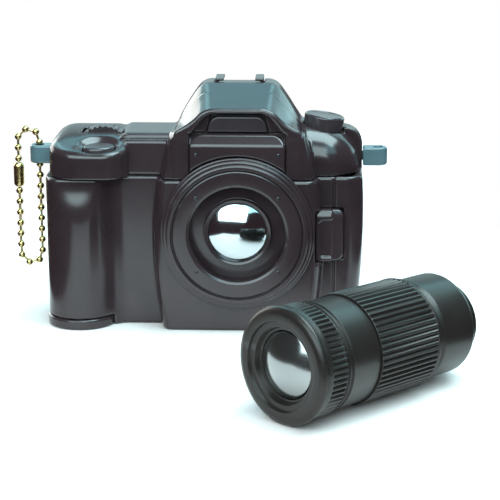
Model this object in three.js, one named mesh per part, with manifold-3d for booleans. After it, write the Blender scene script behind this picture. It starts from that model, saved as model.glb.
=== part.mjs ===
// Toy single-lens camera with a detached telephoto lens and a ball chain, in millimetres, +Z up.
// The origin lies on the base under the lens axis, the camera looks along -Y and its grip is on -X.
import * as THREE from "three";
import { mergeVertices } from "three/addons/utils/BufferGeometryUtils.js";
import Module from "manifold-3d";

const wasm = await Module();
wasm.setup();

// Fits and walls
const GAP = 0.3;
const WALL = 2;
const SEGMENTS = 32;

// Body shells
const BODY_LEFT = 63.4;
const BODY_RIGHT = 41.3;
const SLAB_FRONT = 12.5;
const SLAB_BACK = 12.5;
const PARTING = 2.5;
const SEAM_Z = 50.5;
const AXIS_Z = 33.1;
const SIDE_BULGE = 2.2;
const BASE_ROUND = 2.5;
const BACK_ROUND = 8;
const RIGHT_ROUND = 6;
const GRIP_R = 11;
const GRIP_Y = 10.3;
const GRIP_END = 0.61;
const GRIP_FILLET = 2.5;
const PANEL_START = 36.5;
const SCOOP_LOW = 40.8;
const SCOOP_FULL = 48.2;
const SCOOP_BACK = 3;
const SCOOP_TIP = 4.5;
const GROOVE_X = 31.4;
const GROOVE_WIDTH = 0.7;
const GROOVE_DEPTH = 0.7;

// Block that carries the lens mount
const BLOCK_FRONT = 20;
const BLOCK_WALL = 2.2;
const BLOCK_FOOT = 24.6;
const BLOCK_BELLY = 32;
const BLOCK_HEAD = 22.5;
const BLOCK_TOP = 66.5;
const BLOCK_DRAFT = 3;
const BLOCK_DRAFT_RUN = 7;
const BLOCK_UNDER = 2.3;
const BLOCK_ROOT = 3;

// Lens mount
const THROAT_R = 15.8;
const THROAT_TUBE = 0.7;
const RING_FLAT_R = 20.4;
const RING_GROOVE = 0.7;
const RING_ROLL_R = 22.4;
const RING_FOOT_R = 25.2;
const RING_RISE = 3;
const RING_ROLL_RISE = 3.5;
const CONE_R = 21;
const CONE_THICK = 2;
const CONE_LIP = 2.2;
const CONE_LIP_WIDTH = 0.9;
const CONE_LIP_DRAFT = 0.3;
const DOME_R = 9.7;
const DOME_SAG = 2.8;
const DOME_SUNK = 0.6;
const DOME_PLUG_R = 8.6;
const MOUNT_SCREW_X = 13.3;
const MOUNT_SCREW_Z = 12.3;

// Small screws in the mount and the front panel
const PIN_SHANK_R = 0.5;
const PIN_HEAD_R = 0.85;
const PIN_HEAD_H = 0.65;
const PIN_LENGTH = 6.5;
const PIN_SINK = 0.25;

// Case screws in the back and the base cap
const CASE_SHANK_R = 1.1;
const CASE_HEAD_R = 2.2;
const CASE_HEAD_H = 1.6;
const CASE_LENGTH = 14;
const CASE_SEAT_Y = 5;
const CASE_LEFT = 57;
const CASE_RIGHT = 36.5;
const CASE_LOW = 7.5;
const CASE_HIGH = 44.5;
const POST_R = 3;
const BOSS_R = 3.4;

// Top cover
const PLATE_Z = 64;
const PLATE_FRONT = 12;
const PLATE_ROUND = 1.2;
const HOUSING_LEFT = 62;
const HOUSING_RIGHT = 36;
const HOUSING_Z = 64.4;
const HOUSING_CORNER = 8;
const HOUSING_ROUND = 6.5;
const SHOULDER_START = 18;
const SHOULDER_FRONT = 13.5;
const SHOULDER_CORNER = 8;
const SHOULDER_Z = 65;
const SHOULDER_ROUND = 6;
const SHELF = 1;

// Prism hood
const HOOD_TOP_Z = 79.9;
const HOOD_TOP_HALF = 12;
const HOOD_FOOT_Z = 66.3;
const HOOD_FOOT_HALF = 20.6;
const HOOD_KNEE_HALF = 17;
const HOOD_FRONT = 19.5;
const HOOD_CREST = 3;
const HOOD_BACK_CREST = 7;
const HOOD_BACK_DROP = 3;
const HOOD_WALL = 2.2;
const LIP_Z = 73.6;
const LIP_HALF = 10.7;
const LIP_KNEE_HALF = 14.9;
const LIP_KNEE_Z = 69.2;
const LIP_THICK = 1.1;
const ARCH_FLOOR = 17;

// Front panel and bare name plate
const PANEL_HALF = 15.3;
const PANEL_FRONT = 21.2;
const PANEL_THICK = 1.9;
const PANEL_RIDGE_Z = 62.2;
const PANEL_TOP_Z = 65.6;
const PANEL_LEAN = 2.6;
const PANEL_CORNER = 2.5;
const PANEL_SCREW_Z = 59.2;
const PLATE_HALF_LOW = 9.8;
const PLATE_HALF_HIGH = 8.4;
const PLATE_TALL = 5.6;
const PLATE_THICK = 1.2;
const PLATE_PROUD = 0.4;

// Shutter button
const SHUTTER_X = 45.3;
const SHUTTER_Y = 14;
const SHUTTER_Z = 61.3;
const SHUTTER_SLOPE = 0.26;
const SHUTTER_LONG = 5.2;
const SHUTTER_SHORT = 3.5;
const SHUTTER_TURN = 0.18;
const SHUTTER_CROWN = 1.1;
const BOWL_LONG = 7.8;
const BOWL_SHORT = 6;
const BOWL_DEEP = 1.5;
const BOWL_LIFT = 0.2;
const SHUTTER_ROOF = 3.2;
const SHUTTER_FLANGE = 0.8;
const SHUTTER_FLANGE_Z = 56.3;
const SHUTTER_FLANGE_H = 1.1;
const SHUTTER_PEG_R = 1.4;
const SHUTTER_PEG_H = 1;

// Springs
const SPRING_WIRE_R = 0.28;
const SHUTTER_SPRING_R = 2.2;
const SHUTTER_SPRING_TURNS = 2;
const RELEASE_SPRING_R = 2.2;
const RELEASE_SPRING_TURNS = 4;
const SPRING_STEPS = 8;
const SPRING_SIDES = 5;

// Command dial
const WHEEL_X = 45;
const WHEEL_Y = 2;
const WHEEL_R = 9.5;
const WHEEL_TOP = 65.6;
const WHEEL_WIDE = 5;
const WHEEL_TEETH = 32;
const WHEEL_TOOTH = 0.5;
const AXLE_R = 1.3;
const BEARING_THICK = 1.5;
const BEARING_HALF = 3;

// Mode dial
const DIAL_X = 27.7;
const DIAL_Y = 1;
const DIAL_Z = 64.9;
const DIAL_TILT = 0.14;
const DIAL_R = 6.6;
const DIAL_H = 3.7;
const DIAL_EDGE = 0.5;
const DIAL_STEM_R = 2;
const DIAL_STEM = 5;
const CLIP_R = 3.6;
const CLIP_H = 1.2;
const CLIP_DROP = 3.1;

// Lens release button
const PAD_LEFT = 25.4;
const PAD_RIGHT = 34.6;
const PAD_LOW = 23;
const PAD_HIGH = 40;
const PAD_FRONT = 16.8;
const PAD_STEP = 1;
const PAD_SIDE = 14.6;
const PAD_FLANGE = 1.1;
const PAD_FLANGE_H = 1.2;
const PAD_STOP_Y = 3.6;
const PAD_STOP_R = 3.2;

// Accessory shoe
const SHOE_HALF = 7.9;
const SHOE_FLOOR = 0.8;
const SHOE_RAIL = 1.2;
const SHOE_LIP = 1.5;
const SHOE_LIP_H = 0.8;
const SHOE_HIGH = 2.8;
const SHOE_SINK = 1.9;
const SHOE_FRONT = 2.2;
const SHOE_LONG = 10.4;

// Strap lugs
const LUG_Y = 2;
const LUG_HALF = 3.1;
const LUG_REACH = 5.3;
const LUG_LOW = 51.9;
const LUG_HIGH = 58;
const LUG_HOLE_R = 1.8;
const LUG_PEG_R = 1.5;
const LUG_PEG = 3.4;

// Grip base cap
const CAP_H = 3.4;
const CAP_PROUD = 0.4;
const CAP_BACK = 4;
const CAP_SCREW_Y = 10.5;

// Eyepiece and back panel
const EYE_HALF_W = 8.5;
const EYE_HALF_H = 6;
const EYE_Z = 71;
const EYE_DEEP = 3.8;
const EYE_CORNER = 2.5;
const EYE_HOLE_W = 5.6;
const EYE_HOLE_H = 3.6;
const EYE_SEAT = 1.4;
const EYE_REBATE = 1.2;
const EYE_GLASS = 1.2;
const REAR_PANEL_LEFT = 42;
const REAR_PANEL_RIGHT = 26;
const REAR_PANEL_LOW = 8;
const REAR_PANEL_HIGH = 44;
const REAR_PANEL_SINK = 1;
const REAR_PANEL_PROUD = 0.5;
const REAR_PANEL_CORNER = 3;

// Ball chain
const BEAD_R = 1.2;
const BEAD_PITCH = 3.67;
const LINK_R = 0.45;
const CHAIN_LENGTH = 100;
const CHAIN_TURN_R = 3.6;
const CHAIN_RISE = 1.6;
const COUPLING_R = 1.75;
const COUPLING_LONG = 8;
const COUPLING_DROP = 8;

// Telephoto lens, measured along its axis from the front
const TELE_X = 15.4;
const TELE_Y = -108.8;
const TELE_HEADING = 0.793;
const MID_R = 15.8;
const MID_WALL = 2.9;
const MID_LONG = 13.5;
const MID_LINE_W = 0.7;
const MID_LINE_H = 0.5;
const MID_LINE_SPACE = 0.9;
const MID_MARK_W = 0.5;
const MID_MARK_D = 0.35;
const CORE_R = MID_R - MID_WALL - GAP;
const CORE_WALL = 1.7;
const CORE_BORE_R = CORE_R - CORE_WALL;
const CORE_STEP_R = CORE_BORE_R + 1.1;
const RIM_R = MID_R + 1.3;
const RIM_FACE_R = RIM_R - 1.9;
const RIM_MOUTH_R = RIM_FACE_R - 2.2;
const RIM_WIDE_S = 1.5;
const RIM_GROOVE_S = 2;
const RIM_GROOVE_W = 0.5;
const RIM_GROOVE_D = 0.7;
const RIM_EDGE_S = 3.1;
const RIM_LONG = 6.6;
const RIM_STEP = 1;
const RIM_WELL = 2.8;
const FRONT_LENS_FLANGE_R = CORE_BORE_R - GAP;
const FRONT_LENS_FLANGE = 1.5;
const FRONT_LENS_R = FRONT_LENS_FLANGE_R - 1;
const FRONT_LENS_SAG = 2.7;
const RIM_BORE_R = FRONT_LENS_R + GAP;
const RIM_WELL_R = RIM_BORE_R + 0.7;
const CELL_THICK = 1.6;
const CELL_BORE_R = CORE_BORE_R - GAP - 3.2;
const RIB_DEEP = 0.6;
const RING_PROUD = 0.7;
const FOCUS_LONG = 7.1;
const FOCUS_R = MID_R + RING_PROUD;
const FOCUS_COLLAR = 1.3;
const FOCUS_RIBS = 48;
const ZOOM_LONG = 25.1;
const ZOOM_R = MID_R + RING_PROUD;
const ZOOM_COLLAR = 0.8;
const ZOOM_RIBS = 60;
const TAIL_R = THROAT_R - 0.5;
const TAIL_LONG = 13.5;
const TAIL_ROUND = 1.2;
const NECK_R = TAIL_R - 0.7;
const NECK_LONG = 3;
const STUB_R = CORE_STEP_R - GAP;
const STUB_BORE_R = STUB_R - 1.6;
const STUB_SUNK = 5.2;
const STUB_OUT = 5;
const REAR_LENS = 1.6;

// Colours
const black = new THREE.MeshStandardMaterial({ color: 0x1b1c1f, roughness: 0.35, metalness: 0 });
const satin = new THREE.MeshStandardMaterial({ color: 0x26262a, roughness: 0.45, metalness: 0 });
const matt = new THREE.MeshStandardMaterial({ color: 0x2b2d2c, roughness: 0.55, metalness: 0 });
const mirror = new THREE.MeshStandardMaterial({ color: 0xc9ccd0, roughness: 0.08, metalness: 0.9 });
const glass = new THREE.MeshStandardMaterial({ color: 0x9aa3a6, roughness: 0.08, metalness: 0.2 });
const steel = new THREE.MeshStandardMaterial({ color: 0x9a9a9a, roughness: 0.35, metalness: 1 });
const brass = new THREE.MeshStandardMaterial({ color: 0xc79a4b, roughness: 0.28, metalness: 1 });

// Geometry helpers
function toSolid(geometry) {
  const bare = geometry.clone();
  for (const name of Object.keys(bare.attributes)) {
    if (name !== "position") bare.deleteAttribute(name);
  }
  const merged = mergeVertices(bare, 1e-4);
  const points = merged.attributes.position;
  const index = merged.index.array;
  const tris = [];
  let volume = 0;
  const a = new THREE.Vector3();
  const b = new THREE.Vector3();
  const c = new THREE.Vector3();
  for (let i = 0; i < index.length; i += 3) {
    const [p, q, r] = [index[i], index[i + 1], index[i + 2]];
    if (p === q || q === r || r === p) continue;
    tris.push(p, q, r);
    a.fromBufferAttribute(points, p);
    b.fromBufferAttribute(points, q);
    c.fromBufferAttribute(points, r);
    volume += a.dot(b.cross(c));
  }
  if (volume < 0) {
    for (let i = 0; i < tris.length; i += 3) [tris[i + 1], tris[i + 2]] = [tris[i + 2], tris[i + 1]];
  }
  const mesh = new wasm.Mesh({
    numProp: 3,
    vertProperties: new Float32Array(points.array),
    triVerts: new Uint32Array(tris),
  });
  return new wasm.Manifold(mesh);
}

function toGeometry(solid) {
  const mesh = solid.getMesh();
  const geometry = new THREE.BufferGeometry();
  geometry.setAttribute("position", new THREE.BufferAttribute(mesh.vertProperties, 3));
  geometry.setIndex(new THREE.BufferAttribute(mesh.triVerts, 1));
  return geometry;
}

const join = (...solids) => wasm.Manifold.union(solids);
const cut = (solid, ...tools) => solid.subtract(join(...tools));
const common = (...solids) => wasm.Manifold.intersection(solids);

function box(x0, x1, y0, y1, z0, z1) {
  const geometry = new THREE.BoxGeometry(x1 - x0, y1 - y0, z1 - z0);
  geometry.translate((x0 + x1) / 2, (y0 + y1) / 2, (z0 + z1) / 2);
  return toSolid(geometry);
}

// Cylinder along an axis, between two places on it and at the two other coordinates
function rod(axis, radius, from, to, p, q, segments = 12) {
  const geometry = new THREE.CylinderGeometry(radius, radius, to - from, segments);
  geometry.translate(0, (from + to) / 2, 0);
  if (axis === "x") geometry.rotateZ(-Math.PI / 2).translate(0, p, q);
  if (axis === "y") geometry.translate(p, 0, q);
  if (axis === "z") geometry.rotateX(Math.PI / 2).translate(p, q, 0);
  return toSolid(geometry);
}

// Plan outline pushed up along Z, with an optional round on the top edge
function raise(shape, z0, z1, round = 0, curveSegments = 4) {
  const options = { depth: z1 - z0 - round, bevelEnabled: false, curveSegments };
  if (round > 0) {
    options.bevelEnabled = true;
    options.bevelThickness = round;
    options.bevelSize = round;
    options.bevelOffset = -round;
    options.bevelSegments = 3;
  }
  const solid = toSolid(new THREE.ExtrudeGeometry(shape, options).translate(0, 0, z0));
  return round > 0 ? solid.trimByPlane([0, 0, 1], z0) : solid;
}

// Front outline (x, z) pushed towards the viewer from y0 down to y1
function press(shape, y0, y1, curveSegments = 2) {
  const geometry = new THREE.ExtrudeGeometry(shape, { depth: y0 - y1, bevelEnabled: false, curveSegments });
  geometry.rotateX(Math.PI / 2).translate(0, y0, 0);
  return toSolid(geometry);
}

// Side outline (y, z) pushed along X
function sweepX(points, x0, x1) {
  const shape = new THREE.Shape(points.map(([y, z]) => new THREE.Vector2(y, z)));
  const geometry = new THREE.ExtrudeGeometry(shape, { depth: x1 - x0, bevelEnabled: false });
  const basis = new THREE.Matrix4().makeBasis(
    new THREE.Vector3(0, 1, 0), new THREE.Vector3(0, 0, 1), new THREE.Vector3(1, 0, 0));
  geometry.applyMatrix4(basis).translate(x0, 0, 0);
  return toSolid(geometry);
}

// Closed profile of (radius, place on the axis) turned about Y
function turn(profile, segments = SEGMENTS) {
  const points = profile.map(([r, s]) => new THREE.Vector2(r, s));
  if (profile[0][0] > 0) points.push(points[0].clone());
  return toSolid(new THREE.LatheGeometry(points, segments));
}

function arcPoints(cx, cy, r, a0, a1, steps) {
  const points = [];
  for (let i = 0; i <= steps; i += 1) {
    const a = a0 + ((a1 - a0) * i) / steps;
    points.push([cx + r * Math.cos(a), cy + r * Math.sin(a)]);
  }
  return points;
}

function roundedRect(x0, x1, z0, z1, r) {
  const shape = new THREE.Shape();
  shape.moveTo(x0 + r, z0);
  shape.lineTo(x1 - r, z0);
  shape.absarc(x1 - r, z0 + r, r, -Math.PI / 2, 0, false);
  shape.lineTo(x1, z1 - r);
  shape.absarc(x1 - r, z1 - r, r, 0, Math.PI / 2, false);
  shape.lineTo(x0 + r, z1);
  shape.absarc(x0 + r, z1 - r, r, Math.PI / 2, Math.PI, false);
  shape.lineTo(x0, z0 + r);
  shape.absarc(x0 + r, z0 + r, r, Math.PI, 1.5 * Math.PI, false);
  return shape;
}

function ellipse(x, y, a, b, angle) {
  const shape = new THREE.Shape();
  shape.absellipse(x, y, a, b, 0, 2 * Math.PI, false, angle);
  return shape;
}

// Skin over equal outlines (x, z) that stand one behind the other along Y
function loft(sections) {
  const count = sections[0].points.length;
  const positions = [];
  for (const { y, points } of sections) {
    for (const [x, z] of points) positions.push(x, y, z);
  }
  const index = [];
  for (let s = 0; s < sections.length - 1; s += 1) {
    for (let i = 0; i < count; i += 1) {
      const a = s * count + i;
      const b = s * count + ((i + 1) % count);
      index.push(a, b, a + count, b, b + count, a + count);
    }
  }
  const caps = [sections[0], sections[sections.length - 1]];
  caps.forEach(({ points }, end) => {
    const outline = points.map(([x, z]) => new THREE.Vector2(x, z));
    const base = end * (sections.length - 1) * count;
    for (const [a, b, c] of THREE.ShapeUtils.triangulateShape(outline, [])) {
      if (end === 0) index.push(base + a, base + c, base + b);
      else index.push(base + a, base + b, base + c);
    }
  });
  const geometry = new THREE.BufferGeometry();
  geometry.setAttribute("position", new THREE.Float32BufferAttribute(positions, 3));
  geometry.setIndex(index);
  return toSolid(geometry);
}

// Headed screw on the Y axis: the head's top is at 0 and the shank runs towards -Y
function screw(shankR, headR, headH, length) {
  const profile = [[0, -length], [shankR, -length], [shankR, -headH], [headR, -headH], [headR, 0], [0, 0]];
  return turn(profile, 8);
}

// One unbroken coil along Y between two places, its least gap to itself measured and printed
function coil(name, radius, from, to, turns) {
  const steps = turns * SPRING_STEPS;
  const rise = to - from - 2 * SPRING_WIRE_R;
  const positions = [];
  const centres = [];
  for (let i = 0; i <= steps; i += 1) {
    const a = (2 * Math.PI * i) / SPRING_STEPS;
    const y = from + SPRING_WIRE_R + (rise * i) / steps;
    centres.push(new THREE.Vector3(radius * Math.cos(a), y, radius * Math.sin(a)));
    for (let k = 0; k < SPRING_SIDES; k += 1) {
      const b = (2 * Math.PI * k) / SPRING_SIDES;
      const r = radius + SPRING_WIRE_R * Math.cos(b);
      positions.push(r * Math.cos(a), y + SPRING_WIRE_R * Math.sin(b), r * Math.sin(a));
    }
  }
  const index = [];
  for (let i = 0; i < steps; i += 1) {
    for (let k = 0; k < SPRING_SIDES; k += 1) {
      const a = i * SPRING_SIDES + k;
      const b = i * SPRING_SIDES + ((k + 1) % SPRING_SIDES);
      index.push(a, b, a + SPRING_SIDES, b, b + SPRING_SIDES, a + SPRING_SIDES);
    }
  }
  for (let k = 1; k < SPRING_SIDES - 1; k += 1) {
    const last = steps * SPRING_SIDES;
    index.push(0, k + 1, k, last, last + k, last + k + 1);
  }
  let least = Infinity;
  for (let i = 0; i < centres.length; i += 1) {
    for (let j = i + SPRING_STEPS - 2; j < centres.length; j += 1) {
      least = Math.min(least, centres[i].distanceTo(centres[j]) - 2 * SPRING_WIRE_R);
    }
  }
  console.log(`${name}: least gap to itself ${least.toFixed(2)} mm`);
  const geometry = new THREE.BufferGeometry();
  geometry.setAttribute("position", new THREE.Float32BufferAttribute(positions, 3));
  geometry.setIndex(index);
  return toSolid(geometry);
}

// Ring with ribs along its axis, from s0 to s1
function ribbedRing(topR, ribs, boreR, s0, s1) {
  const shape = new THREE.Shape();
  const pitch = (2 * Math.PI) / ribs;
  for (let i = 0; i < ribs; i += 1) {
    const marks = [[0.12, topR - RIB_DEEP], [0.38, topR - RIB_DEEP], [0.55, topR], [0.95, topR]];
    marks.forEach(([share, r], k) => {
      const a = -Math.PI / 2 + pitch * (i - 0.75 + share);
      if (i === 0 && k === 0) shape.moveTo(r * Math.cos(a), r * Math.sin(a));
      else shape.lineTo(r * Math.cos(a), r * Math.sin(a));
    });
  }
  const hole = new THREE.Path();
  hole.absarc(0, 0, boreR, 0, 2 * Math.PI, true);
  shape.holes.push(hole);
  const options = { depth: s1 - s0, bevelEnabled: false, curveSegments: SEGMENTS / 2 };
  const geometry = new THREE.ExtrudeGeometry(shape, options);
  geometry.rotateX(-Math.PI / 2).translate(0, s0, 0);
  return toSolid(geometry);
}

const part = new THREE.Group();
part.name = "toy_camera";

function add(group, name, solid, material) {
  const mesh = new THREE.Mesh(toGeometry(solid), material);
  mesh.name = name;
  group.add(mesh);
  return mesh;
}

// Shared outlines of the body
const GRIP_X = -(BODY_LEFT - GRIP_R);

function frontPlan(inset) {
  const r = GRIP_R - inset;
  const panel = -(SLAB_FRONT - inset);
  const right = BODY_RIGHT - inset;
  const corner = RIGHT_ROUND - inset;
  const a = -GRIP_END;
  const leave = new THREE.Vector2(GRIP_X + r * Math.cos(a), -GRIP_Y + r * Math.sin(a));
  const shape = new THREE.Shape();
  shape.moveTo(-BODY_LEFT + inset, PARTING - GAP / 2);
  shape.lineTo(-BODY_LEFT + inset, -GRIP_Y);
  shape.absarc(GRIP_X, -GRIP_Y, r, Math.PI, 2 * Math.PI + a, false);
  shape.bezierCurveTo(
    leave.x - GRIP_FILLET * Math.sin(a), leave.y + GRIP_FILLET * Math.cos(a),
    -PANEL_START - GRIP_FILLET, panel, -PANEL_START, panel);
  shape.lineTo(right - corner, panel);
  shape.absarc(right - corner, panel + corner, corner, -Math.PI / 2, 0, false);
  shape.lineTo(right, PARTING - GAP / 2);
  return shape;
}

function rearPlan(inset) {
  const back = SLAB_BACK - inset;
  const corner = BACK_ROUND - inset;
  const left = -BODY_LEFT + inset;
  const right = BODY_RIGHT - inset;
  const shape = new THREE.Shape();
  shape.moveTo(left, PARTING + GAP / 2);
  shape.lineTo(right, PARTING + GAP / 2);
  shape.lineTo(right, back - corner);
  shape.absarc(right - corner, back - corner, corner, 0, Math.PI / 2, false);
  shape.lineTo(left + corner, back);
  shape.absarc(left + corner, back - corner, corner, Math.PI / 2, Math.PI, false);
  return shape;
}

// Front view of the lower body: a slightly bulged right flank and a rounded lower corner
function bodyFace() {
  const foot = BODY_RIGHT - SIDE_BULGE;
  const shape = new THREE.Shape();
  shape.moveTo(-BODY_LEFT - WALL, 0);
  shape.lineTo(foot - BASE_ROUND, 0);
  shape.absarc(foot - BASE_ROUND, BASE_ROUND, BASE_ROUND, -Math.PI / 2, 0, false);
  shape.quadraticCurveTo(BODY_RIGHT + SIDE_BULGE / 2, SEAM_Z * 0.6, BODY_RIGHT - SIDE_BULGE / 4, SEAM_Z);
  shape.lineTo(-BODY_LEFT - WALL, SEAM_Z);
  return press(shape, SLAB_BACK + WALL, -BLOCK_FRONT - 2 * WALL, 5);
}

// Front view of the lens block, inset by a margin
function blockFace(inset, low, high) {
  const shape = new THREE.Shape();
  shape.moveTo(-BLOCK_FOOT + inset, low);
  shape.lineTo(BLOCK_FOOT - inset, low);
  shape.quadraticCurveTo(BLOCK_BELLY - inset, AXIS_Z, BLOCK_HEAD - inset, high);
  shape.lineTo(-BLOCK_HEAD + inset, high);
  shape.quadraticCurveTo(-BLOCK_BELLY + inset, AXIS_Z, -BLOCK_FOOT + inset, low);
  return shape;
}

// Drafted, rounded block standing out of the slab
function block() {
  const root = SLAB_FRONT - BLOCK_ROOT;
  const options = {
    depth: BLOCK_FRONT - root - BLOCK_DRAFT_RUN,
    bevelEnabled: true,
    bevelThickness: BLOCK_DRAFT_RUN,
    bevelSize: BLOCK_DRAFT,
    bevelOffset: -BLOCK_DRAFT,
    bevelSegments: 3,
    curveSegments: 6,
  };
  const geometry = new THREE.ExtrudeGeometry(blockFace(0, -BLOCK_UNDER, BLOCK_TOP), options);
  geometry.rotateX(Math.PI / 2).translate(0, -root, 0);
  return toSolid(geometry).trimByPlane([0, -1, 0], root);
}

const blockSolid = block();
const blockHollow = press(
  blockFace(BLOCK_DRAFT + BLOCK_WALL, WALL + BLOCK_DRAFT, BLOCK_TOP),
  -SLAB_FRONT + WALL + GAP, -BLOCK_FRONT + BLOCK_WALL, 5);
const belowSeam = (solid) => solid.trimByPlane([0, 0, -1], -(SEAM_Z - GAP / 2));
const aboveSeam = (solid) => solid.trimByPlane([0, 0, 1], SEAM_Z + GAP / 2);

function alongY(solid, x, y, z) {
  return solid.translate([x, y, z]);
}

const casePlaces = [
  [-CASE_LEFT, CASE_LOW], [CASE_RIGHT, CASE_LOW], [-CASE_LEFT, CASE_HIGH], [CASE_RIGHT, CASE_HIGH],
];
const mountPlaces = [];
for (const sx of [-1, 1]) {
  for (const sz of [-1, 1]) mountPlaces.push([sx * MOUNT_SCREW_X, sz * MOUNT_SCREW_Z]);
}

// Outline of the round cap under the grip
function capPlan(grow) {
  const shape = new THREE.Shape();
  const r = GRIP_R + CAP_PROUD + grow;
  shape.moveTo(GRIP_X - r, -CAP_BACK + grow);
  shape.lineTo(GRIP_X - r, -GRIP_Y);
  shape.absarc(GRIP_X, -GRIP_Y, r, Math.PI, 2 * Math.PI, false);
  shape.lineTo(GRIP_X + r, -CAP_BACK + grow);
  return shape;
}

// Lens release button outline in plan, grown for its hole
function padPlan(grow) {
  const shape = new THREE.Shape();
  const middle = (PAD_LEFT + PAD_RIGHT) / 2;
  const back = -(SLAB_FRONT - WALL) + GAP + PAD_FLANGE_H / 2;
  shape.moveTo(PAD_LEFT - grow, back);
  shape.lineTo(PAD_LEFT - grow, -PAD_FRONT);
  shape.lineTo(middle, -PAD_FRONT);
  shape.quadraticCurveTo(middle + PAD_STEP, -PAD_FRONT, middle + PAD_STEP, -PAD_FRONT + PAD_STEP);
  shape.quadraticCurveTo(PAD_RIGHT, -PAD_FRONT + PAD_STEP, PAD_RIGHT + grow, -PAD_SIDE);
  shape.lineTo(PAD_RIGHT + grow, back);
  return shape;
}

// Space in front of the grip's set-back top, where the finger rests under the shutter
function scoop(inset) {
  const rear = PARTING + 2 * WALL;
  const left = -BODY_LEFT + inset - GAP;
  const section = (z, back, tip, grow) => {
    const arc = arcPoints(GRIP_X, -GRIP_Y + back, GRIP_R - inset + grow, Math.PI * 1.04, 2 * Math.PI - GRIP_END, 9);
    const plan = [[left, rear], [left, -GRIP_Y + back], ...arc,
      [-PANEL_START - tip, -SLAB_FRONT + inset], [-PANEL_START - tip, rear]];
    return { y: z, points: plan.map(([x, y]) => [x, -y]).reverse() };
  };
  const low = SCOOP_LOW - inset;
  const high = SEAM_Z + 2 * WALL;
  const core = loft([section(low, 0, 0, GAP / 2), section(SCOOP_FULL, SCOOP_BACK, SCOOP_TIP, 0),
    section(high, SCOOP_BACK, SCOOP_TIP, 0)]).rotate([90, 0, 0]);
  const panel = box(GRIP_X, 0, -SLAB_FRONT + inset, rear, low - WALL, high);
  const space = box(-BODY_LEFT - WALL, -PANEL_START, -BODY_LEFT, PARTING + WALL, low, SEAM_Z + WALL);
  return cut(space, core, panel);
}

// Front shell
function frontShell() {
  const top = SEAM_Z - GAP / 2;
  const slab = raise(frontPlan(0), 0, top);
  let outer = common(join(slab, belowSeam(blockSolid)), bodyFace());
  outer = cut(outer, scoop(0), raise(capPlan(GAP), -WALL, CAP_H + GAP));
  let hollow = join(raise(frontPlan(WALL), WALL, SEAM_Z + WALL), blockHollow);
  const past = PARTING + WALL;
  const inner = BODY_RIGHT - WALL - SIDE_BULGE;
  hollow = join(hollow, box(-BODY_LEFT + WALL, inner, -WALL, past, WALL, SEAM_Z + WALL));
  const capCeiling = raise(capPlan(GAP + WALL), 0, CAP_H + GAP + WALL);
  hollow = cut(hollow, scoop(WALL), capCeiling);
  const inside = BODY_RIGHT - SIDE_BULGE - WALL / 2;
  hollow = common(hollow, box(-BODY_LEFT, inside, -BODY_LEFT, past, 0, SEAM_Z + WALL));
  const posts = casePlaces.map(([x, z]) => rod("y", POST_R, -BODY_LEFT, PARTING - GAP, x, z));
  posts.push(rod("z", POST_R, CAP_H + GAP, CAP_H + GAP + CASE_LENGTH, GRIP_X, -CAP_SCREW_Y));
  let shell = join(cut(outer, hollow), common(outer, join(...posts)));
  const pilot = CASE_SHANK_R + GAP;
  const holes = casePlaces.map(([x, z]) => rod("y", pilot, CASE_SEAT_Y - CASE_LENGTH, past, x, z, 10));
  holes.push(rod("z", pilot, 0, CASE_LENGTH, GRIP_X, -CAP_SCREW_Y, 16));
  for (const [x, z] of mountPlaces) {
    holes.push(rod("y", PIN_SHANK_R + GAP, -BLOCK_FRONT - WALL, -SLAB_FRONT, x, AXIS_Z + z, 8));
  }
  const throatHole = THROAT_R + THROAT_TUBE + GAP;
  const throatEnd = -BLOCK_FRONT + BLOCK_WALL + WALL;
  holes.push(rod("y", throatHole, -BLOCK_FRONT - WALL, throatEnd, 0, AXIS_Z, SEGMENTS));
  const padHole = raise(padPlan(GAP), PAD_LOW - GAP, PAD_HIGH + GAP);
  const padFace = box(PAD_LEFT - GAP, PAD_RIGHT + GAP, -BLOCK_FRONT - WALL, -PAD_SIDE + GAP,
    PAD_LOW - GAP, PAD_HIGH + GAP);
  const groove = box(GROOVE_X - GROOVE_WIDTH / 2, GROOVE_X + GROOVE_WIDTH / 2,
    -SLAB_FRONT - WALL, -SLAB_FRONT + GROOVE_DEPTH, -WALL, SEAM_Z);
  shell = cut(shell, ...holes, padHole, padFace, groove);
  return shell;
}
add(part, "front_shell", frontShell(), black);

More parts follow.
